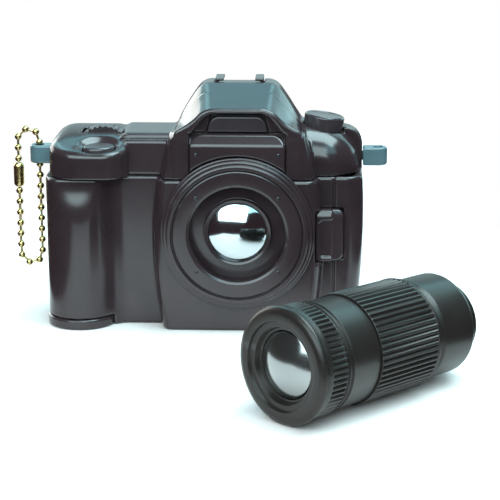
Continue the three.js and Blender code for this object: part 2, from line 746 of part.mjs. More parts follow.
// Rear shell
function rearShell() {
  const top = SEAM_Z - GAP / 2;
  const outer = common(raise(rearPlan(0), 0, top), bodyFace());
  let hollow = raise(rearPlan(WALL), WALL, SEAM_Z + WALL);
  const from = PARTING - WALL;
  hollow = join(hollow, box(-BODY_LEFT + WALL, BODY_RIGHT - WALL, from, PARTING + WALL, WALL, SEAM_Z + WALL));
  const inside = BODY_RIGHT - SIDE_BULGE - WALL / 2;
  hollow = common(hollow, box(-BODY_LEFT, inside, from, SLAB_BACK, 0, SEAM_Z + WALL));
  const bosses = casePlaces.map(([x, z]) => common(outer, rod("y", BOSS_R, PARTING + GAP, SLAB_BACK, x, z)));
  const stopX = (PAD_LEFT + PAD_RIGHT) / 2;
  const stopZ = (PAD_LOW + PAD_HIGH) / 2;
  bosses.push(rod("y", PAD_STOP_R, -PAD_STOP_Y, SLAB_BACK - WALL / 2, stopX, stopZ));
  const panelBacking = box(-REAR_PANEL_LEFT - WALL, REAR_PANEL_RIGHT + WALL,
    SLAB_BACK - REAR_PANEL_SINK - WALL, SLAB_BACK - WALL / 2, REAR_PANEL_LOW - WALL, REAR_PANEL_HIGH + WALL);
  let shell = join(cut(outer, hollow), panelBacking, ...bosses);
  const holes = [];
  for (const [x, z] of casePlaces) {
    holes.push(rod("y", CASE_SHANK_R + GAP, -WALL, SLAB_BACK, x, z, 10));
    holes.push(rod("y", CASE_HEAD_R + GAP, CASE_SEAT_Y, SLAB_BACK + WALL, x, z, 10));
  }
  const pocket = roundedRect(-REAR_PANEL_LEFT - GAP, REAR_PANEL_RIGHT + GAP,
    REAR_PANEL_LOW - GAP, REAR_PANEL_HIGH + GAP, REAR_PANEL_CORNER);
  holes.push(press(pocket, SLAB_BACK + WALL, SLAB_BACK - REAR_PANEL_SINK));
  shell = cut(shell, ...holes);
  return shell;
}
add(part, "rear_shell", rearShell(), black);

const rearPlate = roundedRect(
  -REAR_PANEL_LEFT, REAR_PANEL_RIGHT, REAR_PANEL_LOW, REAR_PANEL_HIGH, REAR_PANEL_CORNER);
add(part, "rear_panel",
  press(rearPlate, SLAB_BACK + REAR_PANEL_PROUD, SLAB_BACK - REAR_PANEL_SINK + GAP), satin);

// Hood outline at a place along Y, inset for the hollow
function hoodSection(y, inset, foot) {
  const mix = (a, b, t) => a + (b - a) * t;
  const lip = { top: [LIP_HALF, LIP_Z], knee: [LIP_KNEE_HALF, LIP_KNEE_Z] };
  const crestKneeZ = (HOOD_TOP_Z + HOOD_FOOT_Z) / 2;
  const crest = { top: [HOOD_TOP_HALF, HOOD_TOP_Z], knee: [HOOD_KNEE_HALF, crestKneeZ] };
  const back = {
    top: [HOOD_TOP_HALF, HOOD_TOP_Z - HOOD_BACK_DROP],
    knee: [HOOD_KNEE_HALF, crestKneeZ - HOOD_BACK_DROP / 2],
  };
  let from = crest;
  let to = crest;
  let t = 0;
  if (y < -HOOD_CREST) {
    from = lip;
    t = (y + HOOD_FRONT) / (HOOD_FRONT - HOOD_CREST);
  } else if (y > HOOD_BACK_CREST) {
    to = back;
    t = (y - HOOD_BACK_CREST) / (SLAB_BACK - HOOD_BACK_CREST);
  }
  const shoeRoom = inset > 0 ? SHOE_SINK : 0;
  const top = [
    mix(from.top[0], to.top[0], t) - 0.7 * inset,
    mix(from.top[1], to.top[1], t) - inset - shoeRoom,
  ];
  const knee = [
    mix(from.knee[0], to.knee[0], t) - 1.2 * inset,
    mix(from.knee[1], to.knee[1], t) - 0.4 * inset,
  ];
  const half = HOOD_FOOT_HALF - 1.3 * inset;
  const right = [[half, foot], [half, HOOD_FOOT_Z], knee, top];
  const left = right.map(([x, z]) => [-x, z]).reverse();
  return { y, points: [...right, ...left] };
}

function hood(inset, foot) {
  const front = inset > 0 ? -ARCH_FLOOR + inset + WALL / 2 : -HOOD_FRONT;
  const back = SLAB_BACK - inset;
  const places = [front, -HOOD_CREST, HOOD_BACK_CREST - inset / 2, back];
  return loft(places.map((y) => hoodSection(y, inset, foot)));
}

// Recess in the hood's front, a little inside its lip
function archRecess() {
  const shape = new THREE.Shape();
  shape.moveTo(-PANEL_HALF, PANEL_TOP_Z);
  shape.lineTo(PANEL_HALF, PANEL_TOP_Z);
  shape.lineTo(LIP_KNEE_HALF - LIP_THICK, LIP_KNEE_Z - LIP_THICK);
  shape.lineTo(LIP_HALF - LIP_THICK, LIP_Z - LIP_THICK);
  shape.lineTo(-LIP_HALF + LIP_THICK, LIP_Z - LIP_THICK);
  shape.lineTo(-LIP_KNEE_HALF + LIP_THICK, LIP_KNEE_Z - LIP_THICK);
  return press(shape, -ARCH_FLOOR, -BLOCK_FRONT - 2 * WALL);
}

// Front panel between the hood and the mount; grown and opened to the front for its pocket
function frontPanel(grow) {
  const ringClear = RING_FOOT_R + GAP - grow;
  const low = AXIS_Z;
  const back = -PANEL_FRONT + PANEL_THICK + grow;
  const lean = [-PANEL_FRONT + PANEL_LEAN, PANEL_TOP_Z + grow];
  const front = grow > 0 ? -PANEL_FRONT - WALL : -PANEL_FRONT;
  const side = [[back, low], [back, PANEL_RIDGE_Z], [lean[0] + PANEL_THICK + grow, lean[1]]];
  if (grow > 0) side.push([front, lean[1]]);
  else side.push(lean, [front, PANEL_RIDGE_Z]);
  side.push([front, low]);
  const slabX = sweepX(side, -PANEL_HALF - grow, PANEL_HALF + grow);
  const half = PANEL_HALF + grow;
  const face = roundedRect(-half, half, low - PANEL_CORNER, PANEL_TOP_Z + grow, PANEL_CORNER);
  const outline = press(face, 0, -BLOCK_FRONT - 2 * WALL);
  return cut(common(slabX, outline), rod("y", ringClear, -BLOCK_FRONT - 3 * WALL, 0, 0, AXIS_Z, SEGMENTS));
}

function namePlate(grow) {
  const low = PANEL_TOP_Z + PLATE_PROUD;
  const shape = new THREE.Shape();
  shape.moveTo(-PLATE_HALF_LOW - grow, low - grow);
  shape.lineTo(PLATE_HALF_LOW + grow, low - grow);
  shape.lineTo(PLATE_HALF_HIGH + grow, low + PLATE_TALL + grow);
  shape.lineTo(-PLATE_HALF_HIGH - grow, low + PLATE_TALL + grow);
  const face = -ARCH_FLOOR - PLATE_PROUD;
  return press(shape, face + PLATE_THICK + grow, face - grow * WALL);
}

// Plans of the two raised ends of the top cover
function housingPlan(inset) {
  const front = -(GRIP_Y + GRIP_R) + inset;
  const right = -HOUSING_RIGHT - inset;
  const corner = HOUSING_CORNER - inset;
  const back = SLAB_BACK - inset;
  const left = -HOUSING_LEFT + inset;
  const rear = BACK_ROUND - inset;
  const shape = new THREE.Shape();
  shape.moveTo(left, -GRIP_Y);
  shape.absarc(-HOUSING_LEFT + GRIP_R, -GRIP_Y, GRIP_R - inset, Math.PI, 1.5 * Math.PI, false);
  shape.lineTo(right - corner, front);
  shape.absarc(right - corner, front + corner, corner, -Math.PI / 2, 0, false);
  shape.lineTo(right, back);
  shape.lineTo(left + rear, back);
  shape.absarc(left + rear, back - rear, rear, Math.PI / 2, Math.PI, false);
  return shape;
}

function shoulderPlan(inset) {
  const front = -SHOULDER_FRONT + inset;
  const right = BODY_RIGHT - SIDE_BULGE / 4 - inset;
  const corner = SHOULDER_CORNER - inset;
  const back = SLAB_BACK - inset;
  const rear = BACK_ROUND - inset;
  const shape = new THREE.Shape();
  shape.moveTo(SHOULDER_START, front);
  shape.lineTo(right - corner, front);
  shape.absarc(right - corner, front + corner, corner, -Math.PI / 2, 0, false);
  shape.lineTo(right, back - rear);
  shape.absarc(right - rear, back - rear, rear, 0, Math.PI / 2, false);
  shape.lineTo(SHOULDER_START, back);
  return shape;
}

function platePlan(inset) {
  const left = -HOUSING_RIGHT - HOUSING_CORNER;
  const right = SHOULDER_START + SHOULDER_CORNER;
  const shape = new THREE.Shape();
  shape.moveTo(left, -PLATE_FRONT + inset);
  shape.lineTo(right, -PLATE_FRONT + inset);
  shape.lineTo(right, SLAB_BACK - inset);
  shape.lineTo(left, SLAB_BACK - inset);
  return shape;
}

// Everything above the sloping seat of the shutter button, lowered for the hollow
function shutterWedge(drop) {
  const run = BODY_LEFT;
  const at = (y) => SHUTTER_Z - drop + SHUTTER_SLOPE * (y + SHUTTER_Y);
  const rise = (HOUSING_Z - SHUTTER_Z) / SHUTTER_SLOPE - SHUTTER_Y;
  const points = [[-run, at(-run)], [rise, at(rise)], [rise, HOOD_TOP_Z], [-run, HOOD_TOP_Z]];
  return sweepX(points, -BODY_LEFT - WALL, -HOUSING_RIGHT + WALL);
}

// Ellipsoid seat or crown on the slope of the shutter button
function shutterEllipsoid(long, short, deep, lift) {
  const geometry = new THREE.SphereGeometry(1, 20, 8);
  geometry.rotateX(Math.PI / 2).scale(long, short, deep);
  geometry.rotateZ(SHUTTER_TURN).rotateX(Math.atan(SHUTTER_SLOPE));
  geometry.translate(-SHUTTER_X, -SHUTTER_Y, SHUTTER_Z + lift);
  return toSolid(geometry);
}

function shutterPrism(grow, z0, z1) {
  const long = SHUTTER_LONG + grow;
  const short = SHUTTER_SHORT + grow;
  return raise(ellipse(-SHUTTER_X, -SHUTTER_Y, long, short, SHUTTER_TURN), z0, z1, 0, 8);
}

const WHEEL_Z = WHEEL_TOP - WHEEL_R;
const dialPlace = new THREE.Matrix4().makeRotationY(DIAL_TILT).setPosition(DIAL_X, DIAL_Y, DIAL_Z);
// Cylinder in the mode dial's tilted frame, between two heights
function dialRod(radius, z0, z1, segments) {
  const geometry = new THREE.CylinderGeometry(radius, radius, z1 - z0, segments);
  geometry.rotateX(Math.PI / 2).translate(0, 0, (z0 + z1) / 2).applyMatrix4(dialPlace);
  return toSolid(geometry);
}

// Top cover
const panelScrewX = PANEL_HALF * 0.87;
function topCover() {
  const low = SEAM_Z + GAP / 2;
  const outer = join(
    cut(raise(housingPlan(0), low, HOUSING_Z, HOUSING_ROUND), shutterWedge(0)),
    raise(platePlan(0), low, PLATE_Z, PLATE_ROUND),
    raise(shoulderPlan(0), low, SHOULDER_Z, SHOULDER_ROUND),
    hood(0, PLATE_Z - WALL / 2),
    aboveSeam(blockSolid));
  const hollow = join(
    cut(raise(housingPlan(WALL), 0, HOUSING_Z - WALL, HOUSING_ROUND - WALL), shutterWedge(SHUTTER_ROOF)),
    raise(platePlan(WALL), 0, PLATE_Z - WALL),
    raise(shoulderPlan(WALL), 0, SHOULDER_Z - WALL, SHOULDER_ROUND - WALL),
    hood(HOOD_WALL, 0),
    press(blockFace(BLOCK_DRAFT + BLOCK_WALL, 0, PANEL_RIDGE_Z - WALL), 0, -BLOCK_FRONT + BLOCK_WALL, 5));
  const floor = common(raise(housingPlan(GAP), low + GAP / 4, low + SHELF),
    box(-BODY_LEFT, -HOUSING_RIGHT, -BODY_LEFT, -SLAB_FRONT + WALL, 0, PLATE_Z));
  const bearingY = WHEEL_WIDE / 2 + GAP;
  const bearings = [-1, 1].map((side) => {
    const near = -WHEEL_Y + side * bearingY;
    const far = near + side * BEARING_THICK;
    return box(-WHEEL_X - BEARING_HALF, -WHEEL_X + BEARING_HALF,
      Math.min(near, far), Math.max(near, far), WHEEL_Z - BEARING_HALF, HOUSING_Z - WALL / 2);
  });
  let shell = join(cut(outer, hollow), floor, ...bearings.map((b) => common(b, outer)));
  const wheelHalf = WHEEL_R + 2 * GAP;
  const slotY = WHEEL_WIDE / 2 + GAP * 0.8;
  const slot = rod("y", wheelHalf, -WHEEL_Y - slotY, -WHEEL_Y + slotY, -WHEEL_X, WHEEL_Z, SEGMENTS);
  const tools = [
    slot,
    rod("y", AXLE_R + GAP, -WHEEL_Y - bearingY - 2 * BEARING_THICK, -WHEEL_Y + bearingY + 2 * BEARING_THICK,
      -WHEEL_X, WHEEL_Z, 16),
    shutterEllipsoid(BOWL_LONG, BOWL_SHORT, BOWL_DEEP, BOWL_LIFT),
    shutterPrism(GAP, SHUTTER_FLANGE_Z - WALL, HOOD_TOP_Z),
    dialRod(DIAL_R + GAP, 0, DIAL_H + WALL, SEGMENTS),
    dialRod(DIAL_STEM_R + GAP, -DIAL_STEM - WALL, DIAL_H, 20),
    frontPanel(GAP),
    archRecess(),
    namePlate(GAP),
    box(-SHOE_HALF - GAP, SHOE_HALF + GAP, -SHOE_FRONT - GAP, -SHOE_FRONT + SHOE_LONG + GAP,
      HOOD_TOP_Z - SHOE_SINK, HOOD_TOP_Z + WALL),
  ];
  for (const side of [-1, 1]) {
    const x = side * panelScrewX;
    tools.push(rod("y", PIN_SHANK_R + GAP, -PANEL_FRONT - WALL, -SLAB_FRONT, x, PANEL_SCREW_Z, 8));
  }
  const eyeHole = roundedRect(-EYE_HOLE_W, EYE_HOLE_W, EYE_Z - EYE_HOLE_H, EYE_Z + EYE_HOLE_H, 1);
  tools.push(press(eyeHole, SLAB_BACK + WALL, SLAB_BACK - 2 * WALL));
  const pegHole = LUG_PEG_R + GAP;
  const pegZ = (LUG_LOW + LUG_HIGH) / 2;
  tools.push(rod("x", pegHole, -HOUSING_LEFT - WALL, -HOUSING_LEFT + 2 * WALL, LUG_Y, pegZ, 16));
  tools.push(rod("x", pegHole, BODY_RIGHT - 2 * WALL, BODY_RIGHT + WALL, LUG_Y, pegZ, 16));
  shell = cut(shell, ...tools);
  return shell;
}
add(part, "top_cover", topCover(), black);

// Front panel and bare plate, with the two panel screws
const headSeat = PIN_HEAD_H + PIN_SINK + GAP;
function drilledPanel() {
  const tools = [];
  for (const side of [-1, 1]) {
    const x = side * panelScrewX;
    const seat = -PANEL_FRONT + headSeat;
    tools.push(rod("y", PIN_HEAD_R + GAP, -PANEL_FRONT - WALL, seat, x, PANEL_SCREW_Z, 10));
    tools.push(rod("y", PIN_SHANK_R + GAP, -PANEL_FRONT, 0, x, PANEL_SCREW_Z, 8));
  }
  return cut(frontPanel(0), ...tools);
}
add(part, "front_panel", drilledPanel(), black);
add(part, "name_plate", namePlate(0), satin);

function addScrew(name, group, place, turnX, sizes) {
  const mesh = add(group, name, screw(...sizes), steel);
  mesh.position.set(...place);
  mesh.rotation.x = turnX;
}
const pinSizes = [PIN_SHANK_R, PIN_HEAD_R, PIN_HEAD_H, PIN_LENGTH];
[-1, 1].forEach((side, i) => {
  const place = [side * panelScrewX, -PANEL_FRONT + PIN_SINK, PANEL_SCREW_Z];
  addScrew(`panel_screw_${i + 1}`, part, place, Math.PI, pinSizes);
});

// Case screws in the back, and the one under the base cap
const caseSizes = [CASE_SHANK_R, CASE_HEAD_R, CASE_HEAD_H, CASE_LENGTH];
casePlaces.forEach(([x, z], i) => {
  addScrew(`case_screw_${i + 1}`, part, [x, CASE_SEAT_Y + GAP + CASE_HEAD_H, z], 0, caseSizes);
});

// Grip base cap
function gripCap() {
  const seat = CASE_HEAD_H + 2 * GAP;
  return cut(raise(capPlan(0), 0, CAP_H),
    rod("z", CASE_HEAD_R + GAP, -WALL, seat, GRIP_X, -CAP_SCREW_Y, 16),
    rod("z", CASE_SHANK_R + GAP, 0, CAP_H + WALL, GRIP_X, -CAP_SCREW_Y, 16));
}
add(part, "grip_cap", gripCap(), black);
const capScrew = [CASE_SHANK_R, CASE_HEAD_R, CASE_HEAD_H, CASE_LENGTH * 0.7];
addScrew("cap_screw", part, [GRIP_X, -CAP_SCREW_Y, GAP], -Math.PI / 2, capScrew);

// Lens mount: ring, cone and mirror-like dome, on the lens axis with +Y of the group towards the viewer
const mount = new THREE.Group();
mount.name = "mount_group";
mount.position.set(0, -BLOCK_FRONT, AXIS_Z);
mount.rotation.x = Math.PI;
part.add(mount);

function mountRing() {
  const tubeR = THROAT_R + THROAT_TUBE;
  const rollIn = RING_FLAT_R + RING_GROOVE;
  const roll = RING_ROLL_R - rollIn;
  const profile = [
    [THROAT_R, -BLOCK_WALL],
    [THROAT_R, RING_RISE],
    [RING_FLAT_R, RING_RISE],
    [RING_FLAT_R, RING_RISE - RING_GROOVE],
    [rollIn, RING_RISE - RING_GROOVE],
    ...arcPoints(RING_ROLL_R, RING_ROLL_RISE - roll, roll, Math.PI * 0.95, 0, 4),
    [RING_ROLL_R + roll + GAP, RING_RISE / 2],
    [RING_FOOT_R, GAP + GAP],
    [RING_FOOT_R, GAP],
    [tubeR, GAP],
    [tubeR, -BLOCK_WALL],
  ];
  const tools = [];
  for (const [x, z] of mountPlaces) {
    tools.push(rod("y", PIN_HEAD_R + GAP, RING_RISE - headSeat, RING_RISE + WALL, x, z, 10));
    tools.push(rod("y", PIN_SHANK_R + GAP, -WALL, RING_RISE, x, z, 8));
  }
  return cut(turn(profile, 36), ...tools);
}
add(mount, "mount_ring", mountRing(), black);

const coneFloor = -BLOCK_WALL - GAP;
const domeShelf = coneFloor + CONE_LIP - DOME_SUNK;
function mountCone() {
  const lipIn = DOME_R + GAP;
  const lipOut = lipIn + CONE_LIP_WIDTH;
  const profile = [
    [DOME_PLUG_R + GAP, coneFloor - CONE_THICK],
    [DOME_PLUG_R + GAP, domeShelf],
    [lipIn, domeShelf],
    [lipIn, coneFloor + CONE_LIP],
    [lipOut, coneFloor + CONE_LIP],
    [lipOut + CONE_LIP_DRAFT, coneFloor],
    [CONE_R, coneFloor],
    [CONE_R, coneFloor - CONE_THICK],
  ];
  const tools = mountPlaces.map(([x, z]) => rod("y", PIN_SHANK_R + GAP, -BLOCK_FRONT, WALL, x, z, 8));
  return cut(turn(profile), ...tools);
}
add(mount, "mount_cone", mountCone(), black);

// Convex face from the rim at a given height up to the axis
function crown(radius, sag, base, steps) {
  const sphere = (radius * radius + sag * sag) / (2 * sag);
  const half = Math.asin(radius / sphere);
  const centre = base + sag - sphere;
  const points = arcPoints(0, centre, sphere, Math.PI / 2 - half, Math.PI / 2, steps);
  return points.map(([r, s]) => [Math.max(r, 0), s]);
}

function takingLens() {
  const seat = domeShelf + GAP;
  const face = crown(DOME_R, DOME_SAG, seat, 6);
  face[face.length - 1][0] = 0;
  const rear = coneFloor - CONE_THICK;
  return turn([[0, rear], [DOME_PLUG_R, rear], [DOME_PLUG_R, seat], ...face]);
}
add(mount, "taking_lens", takingLens(), mirror);
mountPlaces.forEach(([x, z], i) => {
  addScrew(`mount_screw_${i + 1}`, mount, [x, RING_RISE - PIN_SINK, z], 0, pinSizes);
});

// Shutter button and its spring
function shutterButton() {
  const crownTop = shutterEllipsoid(SHUTTER_LONG + 2, SHUTTER_SHORT + 2, SHUTTER_CROWN * 2, -SHUTTER_CROWN);
  const below = sweepX([[-BODY_LEFT, 0], [0, 0], [0, SHUTTER_Z + SHUTTER_SLOPE * SHUTTER_Y - SHUTTER_CROWN],
    [-BODY_LEFT, SHUTTER_Z - SHUTTER_SLOPE * (BODY_LEFT - SHUTTER_Y) - SHUTTER_CROWN]], -BODY_LEFT, 0);
  const flangeLow = SHUTTER_FLANGE_Z - SHUTTER_FLANGE_H;
  const stem = common(shutterPrism(0, flangeLow, HOOD_TOP_Z), join(crownTop, below));
  const flange = shutterPrism(SHUTTER_FLANGE, flangeLow, SHUTTER_FLANGE_Z);
  const pegLow = flangeLow - SHUTTER_PEG_H;
  return join(stem, flange, rod("z", SHUTTER_PEG_R, pegLow, SHUTTER_FLANGE_Z, -SHUTTER_X, -SHUTTER_Y, 12));
}
add(part, "shutter_button", shutterButton(), satin);
const shutterSpring = coil("shutter_spring", SHUTTER_SPRING_R, SEAM_Z + GAP / 2 + SHELF + GAP,
  SHUTTER_FLANGE_Z - SHUTTER_FLANGE_H - GAP, SHUTTER_SPRING_TURNS);
const shutterCoil = add(part, "shutter_spring", shutterSpring, steel);
shutterCoil.rotation.x = Math.PI / 2;
shutterCoil.position.set(-SHUTTER_X, -SHUTTER_Y, 0);

// Command dial on its axle
function commandDial() {
  const rim = new THREE.Shape();
  const pitch = (2 * Math.PI) / WHEEL_TEETH;
  for (let i = 0; i < WHEEL_TEETH; i += 1) {
    const root = WHEEL_R - WHEEL_TOOTH;
    [[0, WHEEL_R], [0.45, WHEEL_R], [0.6, root], [0.85, root]].forEach(([share, r], k) => {
      const a = pitch * (i + share);
      if (i === 0 && k === 0) rim.moveTo(r, 0);
      else rim.lineTo(r * Math.cos(a), r * Math.sin(a));
    });
  }
  const bore = new THREE.Path();
  bore.absarc(0, 0, AXLE_R + GAP, 0, 2 * Math.PI, true);
  rim.holes.push(bore);
  return press(rim, WHEEL_WIDE / 2, -WHEEL_WIDE / 2, 8);
}
const wheel = add(part, "command_dial", commandDial(), satin);
wheel.position.set(-WHEEL_X, -WHEEL_Y, WHEEL_Z);
const axleHalf = WHEEL_WIDE / 2 + GAP + BEARING_THICK;
const axle = add(part, "command_axle", rod("y", AXLE_R, -axleHalf, axleHalf, 0, 0, 16), steel);
axle.position.copy(wheel.position);

// Mode dial, tilted with its shoulder, and the clip that holds its stem
const dial = new THREE.Group();
dial.name = "mode_dial_group";
dial.applyMatrix4(dialPlace);
part.add(dial);
function modeDial() {
  const profile = [
    [0, -DIAL_STEM], [DIAL_STEM_R, -DIAL_STEM], [DIAL_STEM_R, GAP], [DIAL_R, GAP],
    [DIAL_R, GAP + DIAL_H - DIAL_EDGE], [DIAL_R - DIAL_EDGE, GAP + DIAL_H], [0, GAP + DIAL_H],
  ];
  return turn(profile);
}
add(dial, "mode_dial", modeDial(), satin).rotation.x = Math.PI / 2;
const clipProfile = [
  [DIAL_STEM_R + GAP, -CLIP_DROP - CLIP_H], [DIAL_STEM_R + GAP, -CLIP_DROP],
  [CLIP_R, -CLIP_DROP], [CLIP_R, -CLIP_DROP - CLIP_H],
];
add(dial, "dial_clip", turn(clipProfile, 24), steel).rotation.x = Math.PI / 2;

// Lens release button and its spring
const padX = (PAD_LEFT + PAD_RIGHT) / 2;
const padZ = (PAD_LOW + PAD_HIGH) / 2;
const padBack = -(SLAB_FRONT - WALL) + GAP;
function releaseButton() {
  const pad = raise(padPlan(0), PAD_LOW, PAD_HIGH);
  const flange = box(PAD_LEFT - PAD_FLANGE, PAD_RIGHT + PAD_FLANGE, padBack, padBack + PAD_FLANGE_H,
    PAD_LOW - PAD_FLANGE, PAD_HIGH + PAD_FLANGE);
  return join(pad, flange);
}
add(part, "release_button", releaseButton(), black);
const releaseSpring = coil("release_spring", RELEASE_SPRING_R, padBack + PAD_FLANGE_H + GAP,
  -PAD_STOP_Y - GAP, RELEASE_SPRING_TURNS);
add(part, "release_spring", releaseSpring, steel).position.set(padX, 0, padZ);

// Accessory shoe
function accessoryShoe() {
  const inner = SHOE_HALF - SHOE_RAIL;
  const outline = [
    [-SHOE_HALF, 0], [SHOE_HALF, 0], [SHOE_HALF, SHOE_HIGH], [inner - SHOE_LIP, SHOE_HIGH],
    [inner - SHOE_LIP, SHOE_HIGH - SHOE_LIP_H], [inner, SHOE_HIGH - SHOE_LIP_H], [inner, SHOE_FLOOR],
    [-inner, SHOE_FLOOR], [-inner, SHOE_HIGH - SHOE_LIP_H], [-inner + SHOE_LIP, SHOE_HIGH - SHOE_LIP_H],
    [-inner + SHOE_LIP, SHOE_HIGH], [-SHOE_HALF, SHOE_HIGH],
  ];
  const shape = new THREE.Shape(outline.map(([x, z]) => new THREE.Vector2(x, z)));
  return press(shape, SHOE_LONG, 0);
}
const shoe = add(part, "accessory_shoe", accessoryShoe(), black);
shoe.position.set(0, -SHOE_FRONT, HOOD_TOP_Z - SHOE_SINK + GAP);

// Strap lugs on both ends, each with a vertical eye and a peg into the top cover
function strapLug() {
  const shape = new THREE.Shape();
  shape.moveTo(GAP, LUG_HALF);
  shape.lineTo(GAP, -LUG_HALF);
  shape.lineTo(LUG_REACH, -LUG_HALF);
  shape.absarc(LUG_REACH, 0, LUG_HALF, -Math.PI / 2, Math.PI / 2, false);
  const body = raise(shape, LUG_LOW, LUG_HIGH);
  const peg = rod("x", LUG_PEG_R, -LUG_PEG, WALL, 0, (LUG_LOW + LUG_HIGH) / 2, 16);
  const eye = rod("z", LUG_HOLE_R, LUG_LOW - WALL, LUG_HIGH + WALL, LUG_REACH, 0, 16);
  return cut(join(body, peg), eye);
}
const rightLug = add(part, "strap_lug_right", strapLug(), black);
rightLug.position.set(BODY_RIGHT - SIDE_BULGE / 4, LUG_Y, 0);
const leftLug = add(part, "strap_lug_left", strapLug(), black);
leftLug.position.set(-HOUSING_LEFT, LUG_Y, 0);
leftLug.rotation.z = Math.PI;

// Eyepiece on the back of the hood
function eyepieceFrame() {
  const back = SLAB_BACK + GAP;
  const outer = roundedRect(-EYE_HALF_W, EYE_HALF_W, EYE_Z - EYE_HALF_H, EYE_Z + EYE_HALF_H, EYE_CORNER);
  const hole = roundedRect(-EYE_HOLE_W, EYE_HOLE_W, EYE_Z - EYE_HOLE_H, EYE_Z + EYE_HOLE_H, 1);
  const w = EYE_HOLE_W + EYE_REBATE + GAP;
  const h = EYE_HOLE_H + EYE_REBATE + GAP;
  const rebate = roundedRect(-w, w, EYE_Z - h, EYE_Z + h, 1 + GAP);
  return cut(press(outer, back + EYE_DEEP, back), press(hole, back + EYE_DEEP, back - WALL),
    press(rebate, back + EYE_DEEP + WALL, back + EYE_SEAT));
}
add(part, "eyepiece_frame", eyepieceFrame(), black);
const eyeW = EYE_HOLE_W + EYE_REBATE;
const eyeH = EYE_HOLE_H + EYE_REBATE;
const eyeGlass = roundedRect(-eyeW, eyeW, EYE_Z - eyeH, EYE_Z + eyeH, 1);
const eyeSeat = SLAB_BACK + GAP + EYE_SEAT + GAP;
add(part, "eyepiece_window", press(eyeGlass, eyeSeat + EYE_GLASS, eyeSeat), glass);

// Ball chain: a loop through the left lug's eye, closed by a coupling on its outer strand
const eyeX = -HOUSING_LEFT - LUG_REACH;
const outerX = eyeX - 2 * CHAIN_TURN_R;
const arcTopZ = LUG_HIGH + CHAIN_RISE;
const freeChain = CHAIN_LENGTH - COUPLING_LONG;
const strand = (freeChain - 2 * Math.PI * CHAIN_TURN_R + COUPLING_LONG + 2 * GAP) / 2;
const arcLowZ = arcTopZ - strand;
const couplingTop = arcTopZ - COUPLING_DROP;
const couplingLow = couplingTop - COUPLING_LONG;

// Point at a length along the chain, from under the coupling round to its upper end
function chainPoint(s) {
  const turnLong = Math.PI * CHAIN_TURN_R;
  const first = couplingLow - GAP - arcLowZ;
  const midX = eyeX - CHAIN_TURN_R;
  if (s < first) return new THREE.Vector3(outerX, LUG_Y, couplingLow - GAP - s);
  let rest = s - first;
  if (rest < turnLong) {
    const a = Math.PI + rest / CHAIN_TURN_R;
    const [x, z] = [CHAIN_TURN_R * Math.cos(a), CHAIN_TURN_R * Math.sin(a)];
    return new THREE.Vector3(midX + x, LUG_Y, arcLowZ + z);
  }
  rest -= turnLong;
  if (rest < strand) return new THREE.Vector3(eyeX, LUG_Y, arcLowZ + rest);
  rest -= strand;
  if (rest < turnLong) {
    const a = rest / CHAIN_TURN_R;
    const [x, z] = [CHAIN_TURN_R * Math.cos(a), CHAIN_TURN_R * Math.sin(a)];
    return new THREE.Vector3(midX + x, LUG_Y, arcTopZ + z);
  }
  return new THREE.Vector3(outerX, LUG_Y, arcTopZ - (rest - turnLong));
}

function ballChain() {
  const span = freeChain - 2 * BEAD_R;
  const beads = Math.round(span / BEAD_PITCH);
  const solids = [];
  let last = null;
  for (let i = 0; i <= beads; i += 1) {
    const place = chainPoint(BEAD_R + (span * i) / beads);
    const ball = new THREE.SphereGeometry(BEAD_R, 6, 4).translate(place.x, place.y, place.z);
    solids.push(toSolid(ball));
    if (last) {
      const step = place.clone().sub(last);
      const link = new THREE.CylinderGeometry(LINK_R, LINK_R, step.length(), 5);
      const along = step.clone().normalize();
      const aim = new THREE.Quaternion().setFromUnitVectors(new THREE.Vector3(0, 1, 0), along);
      const middle = last.clone().addScaledVector(step, 0.5);
      link.applyQuaternion(aim).translate(middle.x, middle.y, middle.z);
      solids.push(toSolid(link));
    }
    last = place;
  }
  return join(...solids);
}
add(part, "ball_chain", ballChain(), brass);
const couplingHalf = COUPLING_LONG / 2;
const couplingProfile = [
  [0, -couplingHalf], [COUPLING_R * 0.7, -couplingHalf], [COUPLING_R, -couplingHalf + COUPLING_R / 2],
  [COUPLING_R, couplingHalf - COUPLING_R / 2], [COUPLING_R * 0.7, couplingHalf], [0, couplingHalf],
];
const coupling = add(part, "chain_coupling", turn(couplingProfile, 14), brass);
coupling.rotation.x = Math.PI / 2;
coupling.position.set(outerX, LUG_Y, (couplingTop + couplingLow) / 2);

// Telephoto lens lying on its rim and its zoom ring; +Y of the group runs from its front to its rear
const focusStart = RIM_EDGE_S + GAP;
const midStart = focusStart + FOCUS_LONG + GAP;
const zoomStart = midStart + MID_LONG + GAP;
const zoomEnd = zoomStart + ZOOM_LONG;
const neckStart = zoomEnd + GAP;
const tailEnd = neckStart + NECK_LONG + TAIL_LONG;
const lean = Math.atan((RIM_R - ZOOM_R) / (zoomEnd - RIM_GROOVE_S));

const tele = new THREE.Group();
tele.name = "tele_group";
tele.rotation.set(-lean, 0, TELE_HEADING - Math.PI / 2, "ZYX");
tele.position.set(TELE_X, TELE_Y, RIM_R * Math.cos(lean) + RIM_GROOVE_S * Math.sin(lean));
part.add(tele);

